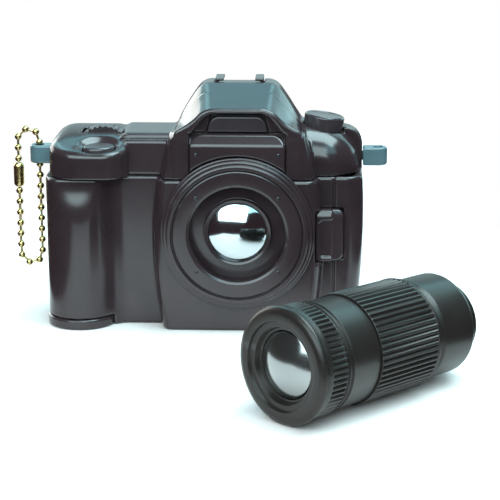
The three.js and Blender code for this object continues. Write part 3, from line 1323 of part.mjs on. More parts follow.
function teleRim() {
  const profile = [
    [RIM_MOUTH_R, 0],
    [RIM_FACE_R, 0],
    [RIM_R - 0.5, RIM_WIDE_S * 0.55],
    [RIM_R, RIM_WIDE_S],
    [RIM_R, RIM_GROOVE_S],
    [RIM_R - RIM_GROOVE_D, RIM_GROOVE_S],
    [RIM_R - RIM_GROOVE_D, RIM_GROOVE_S + RIM_GROOVE_W],
    [RIM_R - RIM_GROOVE_D / 2, RIM_GROOVE_S + RIM_GROOVE_W],
    [RIM_R - RIM_GROOVE_D / 2, RIM_EDGE_S],
    [CORE_R, RIM_EDGE_S],
    [CORE_R, RIM_LONG],
    [RIM_BORE_R, RIM_LONG],
    [RIM_BORE_R, RIM_WELL],
    [RIM_WELL_R, RIM_WELL],
    [RIM_WELL_R + RIM_STEP / 2, RIM_STEP],
    [RIM_MOUTH_R - GAP, RIM_STEP],
  ];
  return turn(profile);
}
add(tele, "tele_front_rim", teleRim(), matt);

const flangeFront = RIM_LONG + GAP;
const flangeBack = flangeFront + FRONT_LENS_FLANGE;
function teleFrontLens() {
  const face = crown(FRONT_LENS_R, FRONT_LENS_SAG, 0, 5).map(([r, s]) => [r, RIM_WELL - s]).reverse();
  face[0][0] = 0;
  return turn([...face, [FRONT_LENS_R, flangeFront], [FRONT_LENS_FLANGE_R, flangeFront],
    [FRONT_LENS_FLANGE_R, flangeBack], [0, flangeBack]], 28);
}
add(tele, "tele_front_lens", teleFrontLens(), glass);

const cellStart = flangeBack + GAP;
const cellProfile = [
  [CELL_BORE_R, cellStart], [CORE_BORE_R - GAP, cellStart],
  [CORE_BORE_R - GAP, cellStart + CELL_THICK], [CELL_BORE_R, cellStart + CELL_THICK],
];
add(tele, "tele_lens_cell", turn(cellProfile, 24), matt);

const stepAt = tailEnd - STUB_SUNK - REAR_LENS - 2 * GAP;
function teleCore() {
  const profile = [
    [CORE_BORE_R, RIM_LONG + GAP],
    [CORE_R, RIM_LONG + GAP],
    [CORE_R, neckStart],
    [NECK_R, neckStart],
    [NECK_R, neckStart + NECK_LONG / 2],
    [TAIL_R, neckStart + NECK_LONG],
    [TAIL_R, tailEnd - TAIL_ROUND],
    [TAIL_R - TAIL_ROUND * 0.3, tailEnd - TAIL_ROUND * 0.3],
    [TAIL_R - TAIL_ROUND, tailEnd],
    [CORE_STEP_R, tailEnd],
    [CORE_STEP_R, stepAt],
    [CORE_BORE_R, stepAt],
  ];
  return turn(profile);
}
add(tele, "tele_core", teleCore(), matt);

// Collar in front of the focus ring's ribs
function focusRing() {
  const bore = CORE_R + GAP;
  const ribsAt = focusStart + FOCUS_COLLAR;
  const collar = [
    [bore, focusStart], [FOCUS_R, focusStart], [FOCUS_R, ribsAt], [bore, ribsAt],
  ];
  return join(turn(collar), ribbedRing(FOCUS_R, FOCUS_RIBS, bore, ribsAt, focusStart + FOCUS_LONG));
}
add(tele, "tele_focus_ring", focusRing(), matt);

function midBarrel() {
  const bore = CORE_R + GAP;
  const midEnd = midStart + MID_LONG;
  const lines = [];
  for (let i = 0; i < 2; i += 1) {
    const s = midStart + MID_LINE_W * 0.7 + i * (MID_LINE_W + MID_LINE_SPACE);
    lines.push([MID_R, s], [MID_R + MID_LINE_H, s + MID_LINE_W * 0.3]);
    lines.push([MID_R + MID_LINE_H, s + MID_LINE_W * 0.7], [MID_R, s + MID_LINE_W]);
  }
  const profile = [
    [bore, midStart], [MID_R, midStart], ...lines, [MID_R, midEnd], [bore, midEnd],
  ];
  const mark = box(-MID_MARK_W / 2, MID_MARK_W / 2, midStart + MID_LONG * 0.45, midEnd + WALL,
    MID_R - MID_MARK_D, MID_R + WALL);
  const aim = mark.rotate([0, 105, 0]);
  return cut(turn(profile), aim);
}
add(tele, "tele_mid_barrel", midBarrel(), matt);

function zoomRing() {
  const bore = CORE_R + GAP;
  const collarAt = zoomEnd - ZOOM_COLLAR;
  const collar = [[bore, collarAt], [ZOOM_R, collarAt], [ZOOM_R, zoomEnd], [bore, zoomEnd]];
  const ribs = ribbedRing(ZOOM_R - RIB_DEEP / 4, ZOOM_RIBS, bore, zoomStart, collarAt + GAP);
  return join(turn(collar), ribs);
}
add(tele, "tele_zoom_ring", zoomRing(), matt);

const rearLensAt = stepAt + GAP;
const rearLensEnd = rearLensAt + REAR_LENS;
const rearLensProfile = [[0, rearLensAt], [STUB_R, rearLensAt], [STUB_R, rearLensEnd], [0, rearLensEnd]];
add(tele, "tele_rear_lens", turn(rearLensProfile, 24), glass);
const stubAt = rearLensEnd + GAP;
const stubEnd = tailEnd + STUB_OUT;
const stubProfile = [
  [STUB_BORE_R, stubAt], [STUB_R, stubAt], [STUB_R, stubEnd - GAP], [STUB_R - GAP, stubEnd],
  [STUB_BORE_R, stubEnd],
];
add(tele, "tele_mount_stub", turn(stubProfile), matt);

export default part;
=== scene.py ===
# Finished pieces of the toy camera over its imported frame.
# Sizes are in millimetres until a mesh is made.
import math

import bpy
import numpy as np
from mathutils import Matrix, Vector


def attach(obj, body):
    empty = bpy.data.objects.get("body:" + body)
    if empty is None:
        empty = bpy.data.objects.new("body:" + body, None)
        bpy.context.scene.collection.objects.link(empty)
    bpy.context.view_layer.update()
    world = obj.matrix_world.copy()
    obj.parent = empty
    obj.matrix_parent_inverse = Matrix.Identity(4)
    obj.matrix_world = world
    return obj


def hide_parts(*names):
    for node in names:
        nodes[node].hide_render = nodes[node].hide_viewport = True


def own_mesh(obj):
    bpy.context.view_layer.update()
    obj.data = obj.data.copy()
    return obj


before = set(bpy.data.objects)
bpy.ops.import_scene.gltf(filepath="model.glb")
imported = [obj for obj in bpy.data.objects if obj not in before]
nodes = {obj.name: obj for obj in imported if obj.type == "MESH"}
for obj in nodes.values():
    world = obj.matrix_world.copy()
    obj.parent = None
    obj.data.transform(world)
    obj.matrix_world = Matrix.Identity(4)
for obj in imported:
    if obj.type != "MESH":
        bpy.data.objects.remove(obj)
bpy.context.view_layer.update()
scene = bpy.context.scene
MM = 0.001

# Sizes shared with the part's source
GAP = 0.3
WALL = 2.0
BODY_LEFT = 63.4
BODY_RIGHT = 41.3
SLAB = 12.5
PARTING = 2.5
SEAM_Z = 50.5
AXIS_Z = 33.1
GRIP_R = 11.0
GRIP_X = -(BODY_LEFT - GRIP_R)
GRIP_Y = -10.3
CAP_BACK = -4.0
CAP_H = 3.4
BLOCK_FRONT = 20.0
HOUSING_LEFT = 62.0
HOUSING_RIGHT = 36.0
HOUSING_Z = 64.4
PLATE_Z = 64.0
SHOULDER_Z = 65.0
SHOULDER_RIGHT = 40.75
HOOD_TOP_Z = 79.9
HOOD_FRONT = 19.5
HOOD_FOOT = (20.6, 66.3)
PANEL_HALF = 15.3
PANEL_FRONT = 21.2
PANEL_TOP_Z = 65.6
PANEL_RIDGE_Z = 62.2
RING_CLEAR = 25.5
SHUTTER = (-45.3, -14.0, 61.3)
SHUTTER_SLOPE = 0.26
SHUTTER_TURN = 0.18
WHEEL = (-45.0, -2.0, 56.1)
WHEEL_R = 9.5
WHEEL_HALF = 2.5
DIAL = (27.7, 1.0, 64.9)
DIAL_TILT = 0.14
DIAL_R = 6.6
PAD = (25.4, 34.6, 23.0, 40.0)
LUG_Y = 2.0
LUG_REACH = 5.3
LUG_HALF = 3.1
LUG_LOW = 51.9
LUG_HIGH = 58.0
EYE_Z = 71.0
CASE_PLACES = [(-57, 7.5), (36.5, 7.5), (-57, 44.5), (36.5, 44.5)]
TELE_PLACE = (15.4, -108.8)
TELE_HEADING = 0.793
TELE_LEAN = math.atan(0.6 / 47.7)
TELE_R = 17.1
TELE_RIM_S = 2.0

# Mesh steps
STEP_REAR = 0.6
STEP_BODY = 0.55
STEP_COVER = 0.5
STEP_PLATE = 0.4
STEP_SMALL = 0.3
STEP_FINE = 0.25

# Camera at the photograph's view
VIEW_DOWN = math.radians(14.5)
VIEW_ROUND = math.radians(2.0)
VIEW_FOCUS = 1700.0
VIEW_FAR = 551.0
VIEW_TARGET = Vector((0.0, -22.0, 33.1))
VIEW_PIXEL = (237.0, 235.0)
PICTURE = 500.0
SENSOR = 36.0
CLIP_NEAR = 0.01
CLIP_FAR = 20.0


def set_camera():
    right = Vector((math.cos(VIEW_ROUND), math.sin(VIEW_ROUND), 0.0))
    level = Vector((-math.sin(VIEW_ROUND), math.cos(VIEW_ROUND), 0.0))
    ahead = level * math.cos(VIEW_DOWN) - Vector((0, 0, 1)) * math.sin(VIEW_DOWN)
    up = right.cross(ahead)
    across = (VIEW_PIXEL[0] - PICTURE / 2) / VIEW_FOCUS
    above = (PICTURE / 2 - VIEW_PIXEL[1]) / VIEW_FOCUS
    place = VIEW_TARGET - (ahead + right * across + up * above) * VIEW_FAR
    data = bpy.data.cameras.new("view")
    data.sensor_width = SENSOR
    data.lens = SENSOR * VIEW_FOCUS / PICTURE
    data.clip_start = CLIP_NEAR
    data.clip_end = CLIP_FAR
    camera = bpy.data.objects.new("view", data)
    scene.collection.objects.link(camera)
    turn = Matrix((right, up, -ahead)).transposed().to_4x4()
    camera.matrix_world = Matrix.Translation(place * MM) @ turn
    scene.camera = camera


set_camera()


# Distance fields
def soft_min(a, b, k):
    h = np.clip(0.5 + 0.5 * (b - a) / k, 0.0, 1.0)
    return b + (a - b) * h - k * h * (1.0 - h)


def soft_max(a, b, k):
    return -soft_min(-a, -b, k)


def corner(a, b, r):
    a = a + r
    b = b + r
    return np.minimum(np.maximum(a, b), 0) + np.hypot(np.maximum(a, 0), np.maximum(b, 0)) - r


def rect(u, v, u0, u1, v0, v1, r=0.0):
    a = np.abs(u - (u0 + u1) / 2) - (u1 - u0) / 2
    b = np.abs(v - (v0 + v1) / 2) - (v1 - v0) / 2
    return corner(a, b, r)


def prism(plan, z, z0, z1, low, high):
    return np.maximum(corner(plan, z - z1, high), corner(plan, z0 - z, low))


def cut(solid, *tools):
    for tool in tools:
        solid = np.maximum(solid, -tool)
    return solid


def disc(u, v, cu, cv, r):
    return np.hypot(u - cu, v - cv) - r


def oval(u, v, a, b):
    return (np.hypot(u / a, v / b) - 1.0) * min(a, b)


# Quad skin over the zero level of a field
SETTLE_ROUNDS = 3
SETTLE_LIMIT = 0.3
SLOPE_STEP = 0.05
SLOPE_FLOOR = 0.2


def settle(field, points, step):
    h = SLOPE_STEP * step
    for _ in range(SETTLE_ROUNDS):
        x, y, z = points.T
        here = field(x, y, z)
        slope = np.stack([
            field(x + h, y, z) - field(x - h, y, z),
            field(x, y + h, z) - field(x, y - h, z),
            field(x, y, z + h) - field(x, y, z - h),
        ], 1) / (2 * h)
        move = -here[:, None] * slope / np.maximum((slope ** 2).sum(1), SLOPE_FLOOR)[:, None]
        size = np.linalg.norm(move, axis=1)
        limit = np.minimum(1.0, SETTLE_LIMIT * step / np.maximum(size, 1e-9))
        points = points + move * limit[:, None]
    return points


def skin(name, field, low, high, step):
    axes = [np.arange(a - 2 * step, b + 3 * step, step) for a, b in zip(low, high)]
    grid = np.meshgrid(*axes, indexing="ij", sparse=True)
    shape = [len(a) for a in axes]
    values = np.broadcast_to(field(*grid), shape).astype(np.float64)
    inside = values < 0
    n = [s - 1 for s in shape]
    corners = [np.array((i, j, k)) for i in (0, 1) for j in (0, 1) for k in (0, 1)]
    total = np.zeros(n, np.int8)
    for c in corners:
        total += inside[c[0]:c[0] + n[0], c[1]:c[1] + n[1], c[2]:c[2] + n[2]]
    mixed = (total > 0) & (total < len(corners))
    cells = np.argwhere(mixed)
    number = np.full(n, -1, np.int64)
    number[mixed] = np.arange(len(cells))
    offset = np.zeros((len(cells), 3))
    hits = np.zeros(len(cells))
    for a in corners:
        for axis in range(3):
            if a[axis]:
                continue
            b = a.copy()
            b[axis] = 1
            va = values[tuple((cells + a).T)]
            vb = values[tuple((cells + b).T)]
            hit = (va < 0) != (vb < 0)
            t = va[hit] / (va[hit] - vb[hit])
            offset[hit] += a + t[:, None] * (b - a)
            hits[hit] += 1
    start = np.array([a[0] for a in axes])
    points = settle(field, start + (cells + offset / hits[:, None]) * step, step)
    quads = []
    for axis in range(3):
        u, v = (axis + 1) % 3, (axis + 2) % 3
        first = np.take(inside, range(n[axis]), axis)
        second = np.take(inside, range(1, n[axis] + 1), axis)
        edges = np.argwhere(first != second)
        within = (edges[:, u] > 0) & (edges[:, v] > 0) & (edges[:, u] < n[u]) & (edges[:, v] < n[v])
        edges = edges[within]
        du = np.eye(3, dtype=int)[u]
        dv = np.eye(3, dtype=int)[v]
        ring = [number[tuple((edges - d).T)] for d in (du + dv, dv, 0 * du, du)]
        faces = np.stack(ring, 1)
        back = ~first[tuple(edges.T)]
        faces[back] = faces[back][:, ::-1]
        quads.append(faces)
    return make(name, points, np.concatenate(quads))


def make(name, points, faces, sharp=None):
    mesh = bpy.data.meshes.new(name)
    mesh.from_pydata((np.asarray(points) * MM).tolist(), [], [list(f) for f in faces])
    mesh.polygons.foreach_set("use_smooth", [True] * len(mesh.polygons))
    mesh.update()
    if sharp is not None:
        mesh.set_sharp_from_angle(angle=sharp)
    piece = bpy.data.objects.new(name, mesh)
    scene.collection.objects.link(piece)
    return piece


# A look is a material with the name of its slot
def finish_piece(piece, look, node, body="camera"):
    material, slot = look
    piece.data.materials.append(material)
    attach(piece, body)
    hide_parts(node)
    return piece


def shaped(name, field, low, high, step, *finish):
    finish_piece(skin(name, field, low, high, step), *finish)


# Materials
CLOUD_SCALE = 55.0
CLOUD_DETAIL = 4.0
CLOUD_BAND = (0.3, 0.7)
CLOUD_SHADE = (0.8, 1.2)
WEAR_BAND = (0.52, 0.64)
WEAR_MOST = (0.7, 0.7, 0.7)
WEAR_SHADE = 0.8
WEAR_LIFT = 0.035
GRAIN_DETAIL = 3.0
GRAIN_HIGH = 0.0001
TARNISH_DETAIL = 5.0
TARNISH_BAND = (0.35, 0.65)
TARNISH_SHADE = 0.7
TARNISH_SHEEN = (0.7, 1.4)
POLISH_SCALE = 160.0
POLISH_DETAIL = 2.0
POLISH_SHADE = 0.94
POLISH_SHEEN = (0.6, 1.5)
POLISH_BUMP = (0.03, 0.0002)


def shade(colour, share, lift=0.0):
    return tuple(c * share + lift for c in colour)


def put(node, values):
    for name, value in values.items():
        node.inputs[name].default_value = value


def shader(name, colour, rough, metal=0.0):
    material = bpy.data.materials.new(name)
    material.use_nodes = True
    bsdf = material.node_tree.nodes["Principled BSDF"]
    put(bsdf, {"Base Color": (*colour, 1.0), "Roughness": rough, "Metallic": metal})
    return material, material.node_tree, bsdf


def noise(tree, scale, detail):
    coords = tree.nodes.new("ShaderNodeTexCoord")
    cloud = tree.nodes.new("ShaderNodeTexNoise")
    put(cloud, {"Scale": scale, "Detail": detail})
    tree.links.new(coords.outputs["Object"], cloud.inputs["Vector"])
    return cloud.outputs["Fac"]


def vary_sheen(tree, bsdf, source, low, high):
    sheen = tree.nodes.new("ShaderNodeMapRange")
    put(sheen, {"To Min": low, "To Max": high})
    tree.links.new(source, sheen.inputs["Value"])
    tree.links.new(sheen.outputs["Result"], bsdf.inputs["Roughness"])


def ramp(tree, source, band, first, second):
    node = tree.nodes.new("ShaderNodeValToRGB")
    for stop, place, colour in zip(node.color_ramp.elements, band, (first, second)):
        stop.position = place
        stop.color = (*colour, 1.0)
    tree.links.new(source, node.inputs["Fac"])
    return node.outputs["Color"]


def relief(tree, bsdf, source, strength, distance):
    bump = tree.nodes.new("ShaderNodeBump")
    put(bump, {"Strength": strength, "Distance": distance})
    tree.links.new(source, bump.inputs["Height"])
    tree.links.new(bump.outputs["Normal"], bsdf.inputs["Normal"])


def moulded(name, colour, rough, spread, grain, depth):
    material, tree, bsdf = shader(name, colour, rough)
    cloud = noise(tree, CLOUD_SCALE, CLOUD_DETAIL)
    vary_sheen(tree, bsdf, cloud, rough - spread, rough + spread)
    tint = ramp(tree, cloud, CLOUD_BAND, shade(colour, CLOUD_SHADE[0]), shade(colour, CLOUD_SHADE[1]))
    form = tree.nodes.new("ShaderNodeNewGeometry")
    wear = ramp(tree, form.outputs["Pointiness"], WEAR_BAND, (0.0, 0.0, 0.0), WEAR_MOST)
    mix = tree.nodes.new("ShaderNodeMixRGB")
    put(mix, {"Color2": (*shade(colour, WEAR_SHADE, WEAR_LIFT), 1.0)})
    tree.links.new(wear, mix.inputs["Fac"])
    tree.links.new(tint, mix.inputs["Color1"])
    tree.links.new(mix.outputs["Color"], bsdf.inputs["Base Color"])
    relief(tree, bsdf, noise(tree, grain, GRAIN_DETAIL), depth, GRAIN_HIGH)
    return material, bsdf


def metal(name, colour, rough, scale):
    material, tree, bsdf = shader(name, colour, rough, 1.0)
    cloud = noise(tree, scale, TARNISH_DETAIL)
    tint = ramp(tree, cloud, TARNISH_BAND, shade(colour, TARNISH_SHADE), colour)
    tree.links.new(tint, bsdf.inputs["Base Color"])
    vary_sheen(tree, bsdf, cloud, rough * TARNISH_SHEEN[0], rough * TARNISH_SHEEN[1])
    return material


def polished(name, colour, rough, metallic):
    material, tree, bsdf = shader(name, colour, rough, metallic)
    cloud = noise(tree, POLISH_SCALE, POLISH_DETAIL)
    vary_sheen(tree, bsdf, cloud, rough * POLISH_SHEEN[0], rough * POLISH_SHEEN[1])
    tint = ramp(tree, cloud, (0.0, 1.0), shade(colour, POLISH_SHADE), colour)
    tree.links.new(tint, bsdf.inputs["Base Color"])
    relief(tree, bsdf, cloud, *POLISH_BUMP)
    return material, bsdf


shell_black, _ = moulded("shell_black", (0.024, 0.0146, 0.0166), 0.2, 0.04, 2600.0, 0.05)
trim_black, _ = moulded("trim_black", (0.033, 0.0245, 0.028), 0.2, 0.05, 3200.0, 0.08)
# The lugs are the shell's black plastic; their lighter teal colour is a painted reflection of the lamps on
# their front faces.
lug_painted_reflection, _ = moulded("lug_painted_reflection", (0.07, 0.112, 0.127), 0.2, 0.04, 2600.0, 0.05)
lens_black, lens_bsdf = moulded("lens_black", (0.0125, 0.0098, 0.0088), 0.32, 0.06, 3000.0, 0.14)
put(lens_bsdf, {"Specular IOR Level": 0.36, "Specular Tint": (1.0, 0.9, 0.88, 1.0)})
brass = metal("brass", (0.6, 0.45, 0.2), 0.24, 900.0)
steel = metal("steel", (0.45, 0.45, 0.46), 0.35, 700.0)
dark_steel = metal("dark_steel", (0.06, 0.06, 0.065), 0.35, 700.0)
dome_mirror, _ = polished("dome_mirror", (0.52, 0.57, 0.59), 0.09, 1.0)
lens_clear, clear_bsdf = polished("lens_clear", (0.012, 0.014, 0.013), 0.17, 0.0)
put(clear_bsdf, {"IOR": 3.0, "Coat Weight": 1.0, "Coat Roughness": 0.12})
floor_white, _ = polished("floor_white", (0.74, 0.65, 0.635), 0.5, 0.0)

SHELL = (shell_black, "black_shell")
# Lugs use the shell's slot with a painted reflection in their colour.
LUG = (lug_painted_reflection, "black_shell")
TRIM = (trim_black, "black_trim")
LENS = (lens_black, "lens_black")
CLEAR = (lens_clear, "clear_lens")
MIRROR = (dome_mirror, "mirror_dome")
BRASS = (brass, "brass")
STEEL = (steel, "steel")

# Lower body, front and rear
FLANK_FOOT_Z = 2.5
FLANK_FOOT = 39.1
FLANK_RISE = 0.13246
FLANK_BEND = 0.002043
BODY_FRONT = 9.5
BODY_ROUND = 8.0
FACE_ROUND = 6.0
FOOT_ROUND = 0.9
GRIP_BACK = -2.0
GRIP_BLEND = 6.0
SCOOP_LOW = 35.5
SCOOP_FULL = 49.5
SCOOP_BACK = 2.4
SCOOP_LEAD = 0.5
SCOOP_SOFT = 1.5
BLOCK_LOW = 2.3
BLOCK_HALF = 24.6
BLOCK_RISE = 0.2175
BLOCK_BEND = 0.003605
BLOCK_TOP_Z = 66.5
BLOCK_SIDE_SOFT = 1.0
BLOCK_FRONT_SOFT = 0.8
BLOCK_FOOT_SOFT = 0.5
BLOCK_BLEND = 0.8
CHEEK_Y = 13.0
CHEEK_RUN = 7.0
CHEEK_INSET = 3.0
CHEEK_LIMIT = 0.985
ABOVE_SEAM = 60.0
CAP_PROUD = 0.4
SEAM_ROUND = 0.4
SEAM_BEVEL = (0.91, 0.41)
SEAM_BEVEL_HIGH = 0.8
THROAT_R = 16.8
THROAT_BACK = 13.0
PAD_ROOM = 0.12
PAD_ROUND = 0.5
PAD_BACK = 8.0
GROOVE_X = 31.4
GROOVE_HALF = 0.35
GROOVE_DEEP = 0.7
REAR_BOX = (-42.0, 26.0, 8.0, 44.0)
REAR_ROUND = 3.0
REAR_DEEP = 1.0
BOSS_R = 3.4
BOSS_Y = 2.8
HEAD_ROOM_R = 2.5
HEAD_ROOM_Y = 5.0
SHANK_ROOM_R = 1.4


def flank(z):
    up = np.clip(z, FLANK_FOOT_Z, SEAM_Z) - FLANK_FOOT_Z
    return FLANK_FOOT + FLANK_RISE * up - FLANK_BEND * up ** 2


def lower_plan(x, y, z):
    xs = x + (BODY_RIGHT - flank(z)) * np.clip(x / BODY_RIGHT, 0, 1)
    full = rect(xs, y, -BODY_LEFT, BODY_RIGHT, -BODY_FRONT, SLAB, BODY_ROUND)
    panel = rect(xs, y, GRIP_X, BODY_RIGHT, -SLAB, 0.0, FACE_ROUND)
    rise = np.clip((z - SCOOP_LOW) / (SCOOP_FULL - SCOOP_LOW), 0.0, 1.0)
    back = (SCOOP_BACK + SCOOP_LEAD) * rise * rise * (3.0 - 2.0 * rise) - SCOOP_LEAD
    grip = np.hypot(x - GRIP_X, y - np.clip(y, GRIP_Y, GRIP_BACK)) - GRIP_R
    grip = soft_max(grip, GRIP_Y - GRIP_R + back - y, SCOOP_SOFT)
    return np.minimum(soft_min(panel, grip, GRIP_BLEND), full)


def block_inset(y):
    run = np.clip((-CHEEK_Y - y) / CHEEK_RUN, 0.0, CHEEK_LIMIT)
    return CHEEK_INSET * (1.0 - np.sqrt(1.0 - run ** 2))


def block(x, y, z):
    up = z + BLOCK_LOW
    half = BLOCK_HALF + BLOCK_RISE * up - BLOCK_BEND * up ** 2
    inset = block_inset(y)
    side = np.abs(x) - half + inset
    f = soft_max(side, z - BLOCK_TOP_Z + inset, BLOCK_SIDE_SOFT)
    f = soft_max(f, -BLOCK_FRONT - y, BLOCK_FRONT_SOFT)
    f = soft_max(f, inset - up, BLOCK_FOOT_SOFT)
    return np.maximum(np.maximum(f, y + BODY_FRONT), -z)


def lower(x, y, z):
    slab = prism(lower_plan(x, y, z), z, 0.0, ABOVE_SEAM, FOOT_ROUND, 0.0)
    return np.maximum(soft_min(slab, block(x, y, z), BLOCK_BLEND), -z)


def cap_plan(x, y, grow):
    round_front = np.hypot(x - GRIP_X, np.minimum(y - GRIP_Y, 0.0)) - (GRIP_R + CAP_PROUD + grow)
    return np.maximum(round_front, y - CAP_BACK - grow)


def front_shell(x, y, z):
    f = lower(x, y, z)
    high = z - SEAM_Z + GAP / 2
    bevel = SEAM_BEVEL[0] * f + SEAM_BEVEL[1] * (high + SEAM_BEVEL_HIGH)
    edge = np.maximum(corner(f, high, SEAM_ROUND), bevel)
    f = cut(f, np.maximum(cap_plan(x, y, GAP), z - CAP_H - GAP))
    f = np.maximum(f, -(f + WALL))
    throat = np.maximum(disc(x, z, 0.0, AXIS_Z, THROAT_R), y + THROAT_BACK)
    x0, x1, z0, z1 = PAD
    pad = rect(x, z, x0 - PAD_ROOM, x1 + PAD_ROOM, z0 - PAD_ROOM, z1 + PAD_ROOM, PAD_ROUND)
    groove = np.maximum(np.abs(x - GROOVE_X) - GROOVE_HALF, y + SLAB - GROOVE_DEEP)
    f = cut(f, throat, np.maximum(pad, y + PAD_BACK), groove)
    return np.maximum(np.maximum(f, y - PARTING + GAP / 2), edge)


def rear_shell(x, y, z):
    solid = lower(x, y, z)
    f = np.maximum(solid, -(solid + WALL))
    x0, x1, z0, z1 = REAR_BOX
    pocket = rect(x, z, x0 - GAP, x1 + GAP, z0 - GAP, z1 + GAP, REAR_ROUND)
    f = cut(f, np.maximum(pocket, SLAB - REAR_DEEP - y))
    for cx, cz in CASE_PLACES:
        radius = np.hypot(x - cx, z - cz)
        f = np.minimum(f, np.maximum(np.maximum(radius - BOSS_R, solid), BOSS_Y - y))
        f = cut(f, np.maximum(radius - HEAD_ROOM_R, HEAD_ROOM_Y - y), radius - SHANK_ROOM_R)
    return np.maximum(np.maximum(f, PARTING + GAP / 2 - y), z - SEAM_Z + GAP / 2)


shaped("front_case", front_shell, (-64, -21, 0), (42, 2.4, 50.4), STEP_BODY, SHELL, "front_shell")
shaped("rear_case", rear_shell, (-64, 2.6, 0), (42, 12.6, 50.4), STEP_REAR, SHELL, "rear_shell")

# Hood: half width and height at its back, and what each loses towards the front and the rear
HOOD_BACK = 3.0
HOOD_REAR_Y = 7.0
HOOD_TOP_X = 12.0
HOOD_TOP_IN = 1.3
HOOD_TOP_FALL = 6.3
HOOD_TOP_REAR_FALL = 3.0
KNEE_X = 17.0
KNEE_IN = 2.1
KNEE_Z = 73.1
KNEE_FALL = 3.9
KNEE_REAR_FALL = 1.5
KNEE_SOFT = 0.8
ROOF_SHARE = 0.934
ROOF_SOFT = 2.4
HOOD_SIDE_SOFT = 1.0
HOOD_FRONT_SOFT = 0.9
HOOD_REAR_SOFT = 1.2
COVER_LOW = 45.0


def hood(x, y, z):
    lean = np.clip((-HOOD_BACK - y) / (HOOD_FRONT - HOOD_BACK), 0.0, 1.0)
    drop = np.clip((y - HOOD_REAR_Y) / (SLAB - HOOD_REAR_Y), 0.0, 1.0)
    top_x = HOOD_TOP_X - HOOD_TOP_IN * lean
    top_z = HOOD_TOP_Z - HOOD_TOP_FALL * lean - HOOD_TOP_REAR_FALL * drop
    knee_x = KNEE_X - KNEE_IN * lean
    knee_z = KNEE_Z - KNEE_FALL * lean - KNEE_REAR_FALL * drop
    foot_x, foot_z = HOOD_FOOT
    ax = np.abs(x)

    def line(x0, z0, x1, z1):
        dx, dz = x1 - x0, z1 - z0
        return (-(ax - x0) * dz + (z - z0) * dx) / np.hypot(dx, dz)

    upper = line(top_x, top_z, knee_x, knee_z)
    under = line(knee_x, knee_z, foot_x, foot_z)
    bend = (knee_z - top_z) * (foot_x - knee_x) - (foot_z - knee_z) * (knee_x - top_x)
    convex = soft_max(upper, under, KNEE_SOFT)
    side = np.where(bend > 0, convex, soft_min(upper, under, KNEE_SOFT))
    roof = (z - top_z) * np.where(lean > 0, ROOF_SHARE, 1.0)
    f = soft_max(roof, side, ROOF_SOFT)
    f = soft_max(f, ax - foot_x, HOOD_SIDE_SOFT)
    f = soft_max(f, -HOOD_FRONT - y, HOOD_FRONT_SOFT)
    return np.maximum(soft_max(f, y - SLAB, HOOD_REAR_SOFT), COVER_LOW - z)


# Seats of the shutter button, the dial, the bare plate and the front panel
ARCH_SIDE = (2.5, 1.5, 2.915)
ARCH_SHOULDER = (4.4, 4.2, 6.083)
ARCH_SHOULDER_AT = (13.8, 68.1)
ARCH_TOP_Z = 72.5
ARCH_SOFT = 2.0
ARCH_FOOT = 0.2
ARCH_BACK = 17.0
PANEL_THICK = 1.9
PANEL_BACK_LEAN = 0.765


def shutter_slope(y, z):
    return (z - SHUTTER[2] - SHUTTER_SLOPE * (y - SHUTTER[1])) / math.hypot(1.0, SHUTTER_SLOPE)


def shutter_plane(x, y):
    c, s = math.cos(SHUTTER_TURN), math.sin(SHUTTER_TURN)
    dx, dy = x - SHUTTER[0], y - SHUTTER[1]
    return c * dx + s * dy, c * dy - s * dx


def dial_axes(x, y, z):
    c, s = math.cos(DIAL_TILT), math.sin(DIAL_TILT)
    dx, dz = x - DIAL[0], z - DIAL[2]
    return np.hypot(c * dx - s * dz, y - DIAL[1]), s * dx + c * dz


def arch(x, y, z):
    ax = np.abs(x)
    a, b, size = ARCH_SIDE
    side = (a * (ax - PANEL_HALF) + b * (z - PANEL_TOP_Z)) / size
    a, b, size = ARCH_SHOULDER
    shoulder = (a * (ax - ARCH_SHOULDER_AT[0]) + b * (z - ARCH_SHOULDER_AT[1])) / size
    f = soft_max(soft_max(side, shoulder, ARCH_SOFT), z - ARCH_TOP_Z, ARCH_SOFT)
    return np.maximum(np.maximum(f, PANEL_TOP_Z - ARCH_FOOT - z), y + ARCH_BACK)


def panel_back(y, z):
    return y + PANEL_FRONT - PANEL_THICK - np.maximum(0.0, (z - PANEL_RIDGE_Z) * PANEL_BACK_LEAN)


# Top cover
HOUSING_FRONT = 21.3
HOUSING_ROUND = 6.5
HOUSING_MID_X = -49
HOUSING_MID_Y = -4
HOUSING_CORNERS = ((11.0, 8.0), (8.0, 1.0))
SLOPE_SOFT = 2.4
TOP_LEFT = 38.0
TOP_RIGHT = 18.0
TOP_CORNER = 0.6
TOP_FRONT = 9.4
TOP_ROUND = 1.6
LEDGE_FRONT = 11.9
LEDGE_DOWN = 1.6
LEDGE_ROUND = 1.5
LOBE_FRONT = 13.5
LOBE_ROUND = 6.0
LOBE_MID_X = 29
LOBE_CORNERS = (8.0, 1.0)
LOBE_EDGE = 0.4
LOBE_SPLIT_Y = -0.5
FRONT_LOBE_X = 34.0
FRONT_LOBE_LOW = 40.0
FRONT_LOBE_FRONT = 12.4
FRONT_LOBE_IN = 0.8
FRONT_LOBE_DOWN = 0.1
ROLL_Z = 53.0
ROLL_X = 27.5
ROLL_SHARE = 0.956
ROLL_R = 11.9
ROLL_SOFT = 1.0
PLATE_BLEND = 2.2
SHOULDER_BLEND = 1.0
HOOD_BLEND = 2.4
COVER_IN = 0.7
BOWL = (7.2, 5.8, 2.3)
BOWL_SOFT = 0.9
DIAL_SEAT_DEEP = 1.3
DIAL_STEM_R = 2.3
DIAL_STEM_LONG = 8.0
CLIP_ROOM = (4.5, 4.1, 2.0)
NAME_FOOT_Z = 66.0
NAME_HALF = 9.8
NAME_LEAN = 0.25
NAME_ROOM_Z = 68.8
NAME_ROOM_HALF = 2.8
NAME_ROOM_BACK = 15.9
SHOE_ROOM = (-8.2, 8.2, -2.5, 8.5)
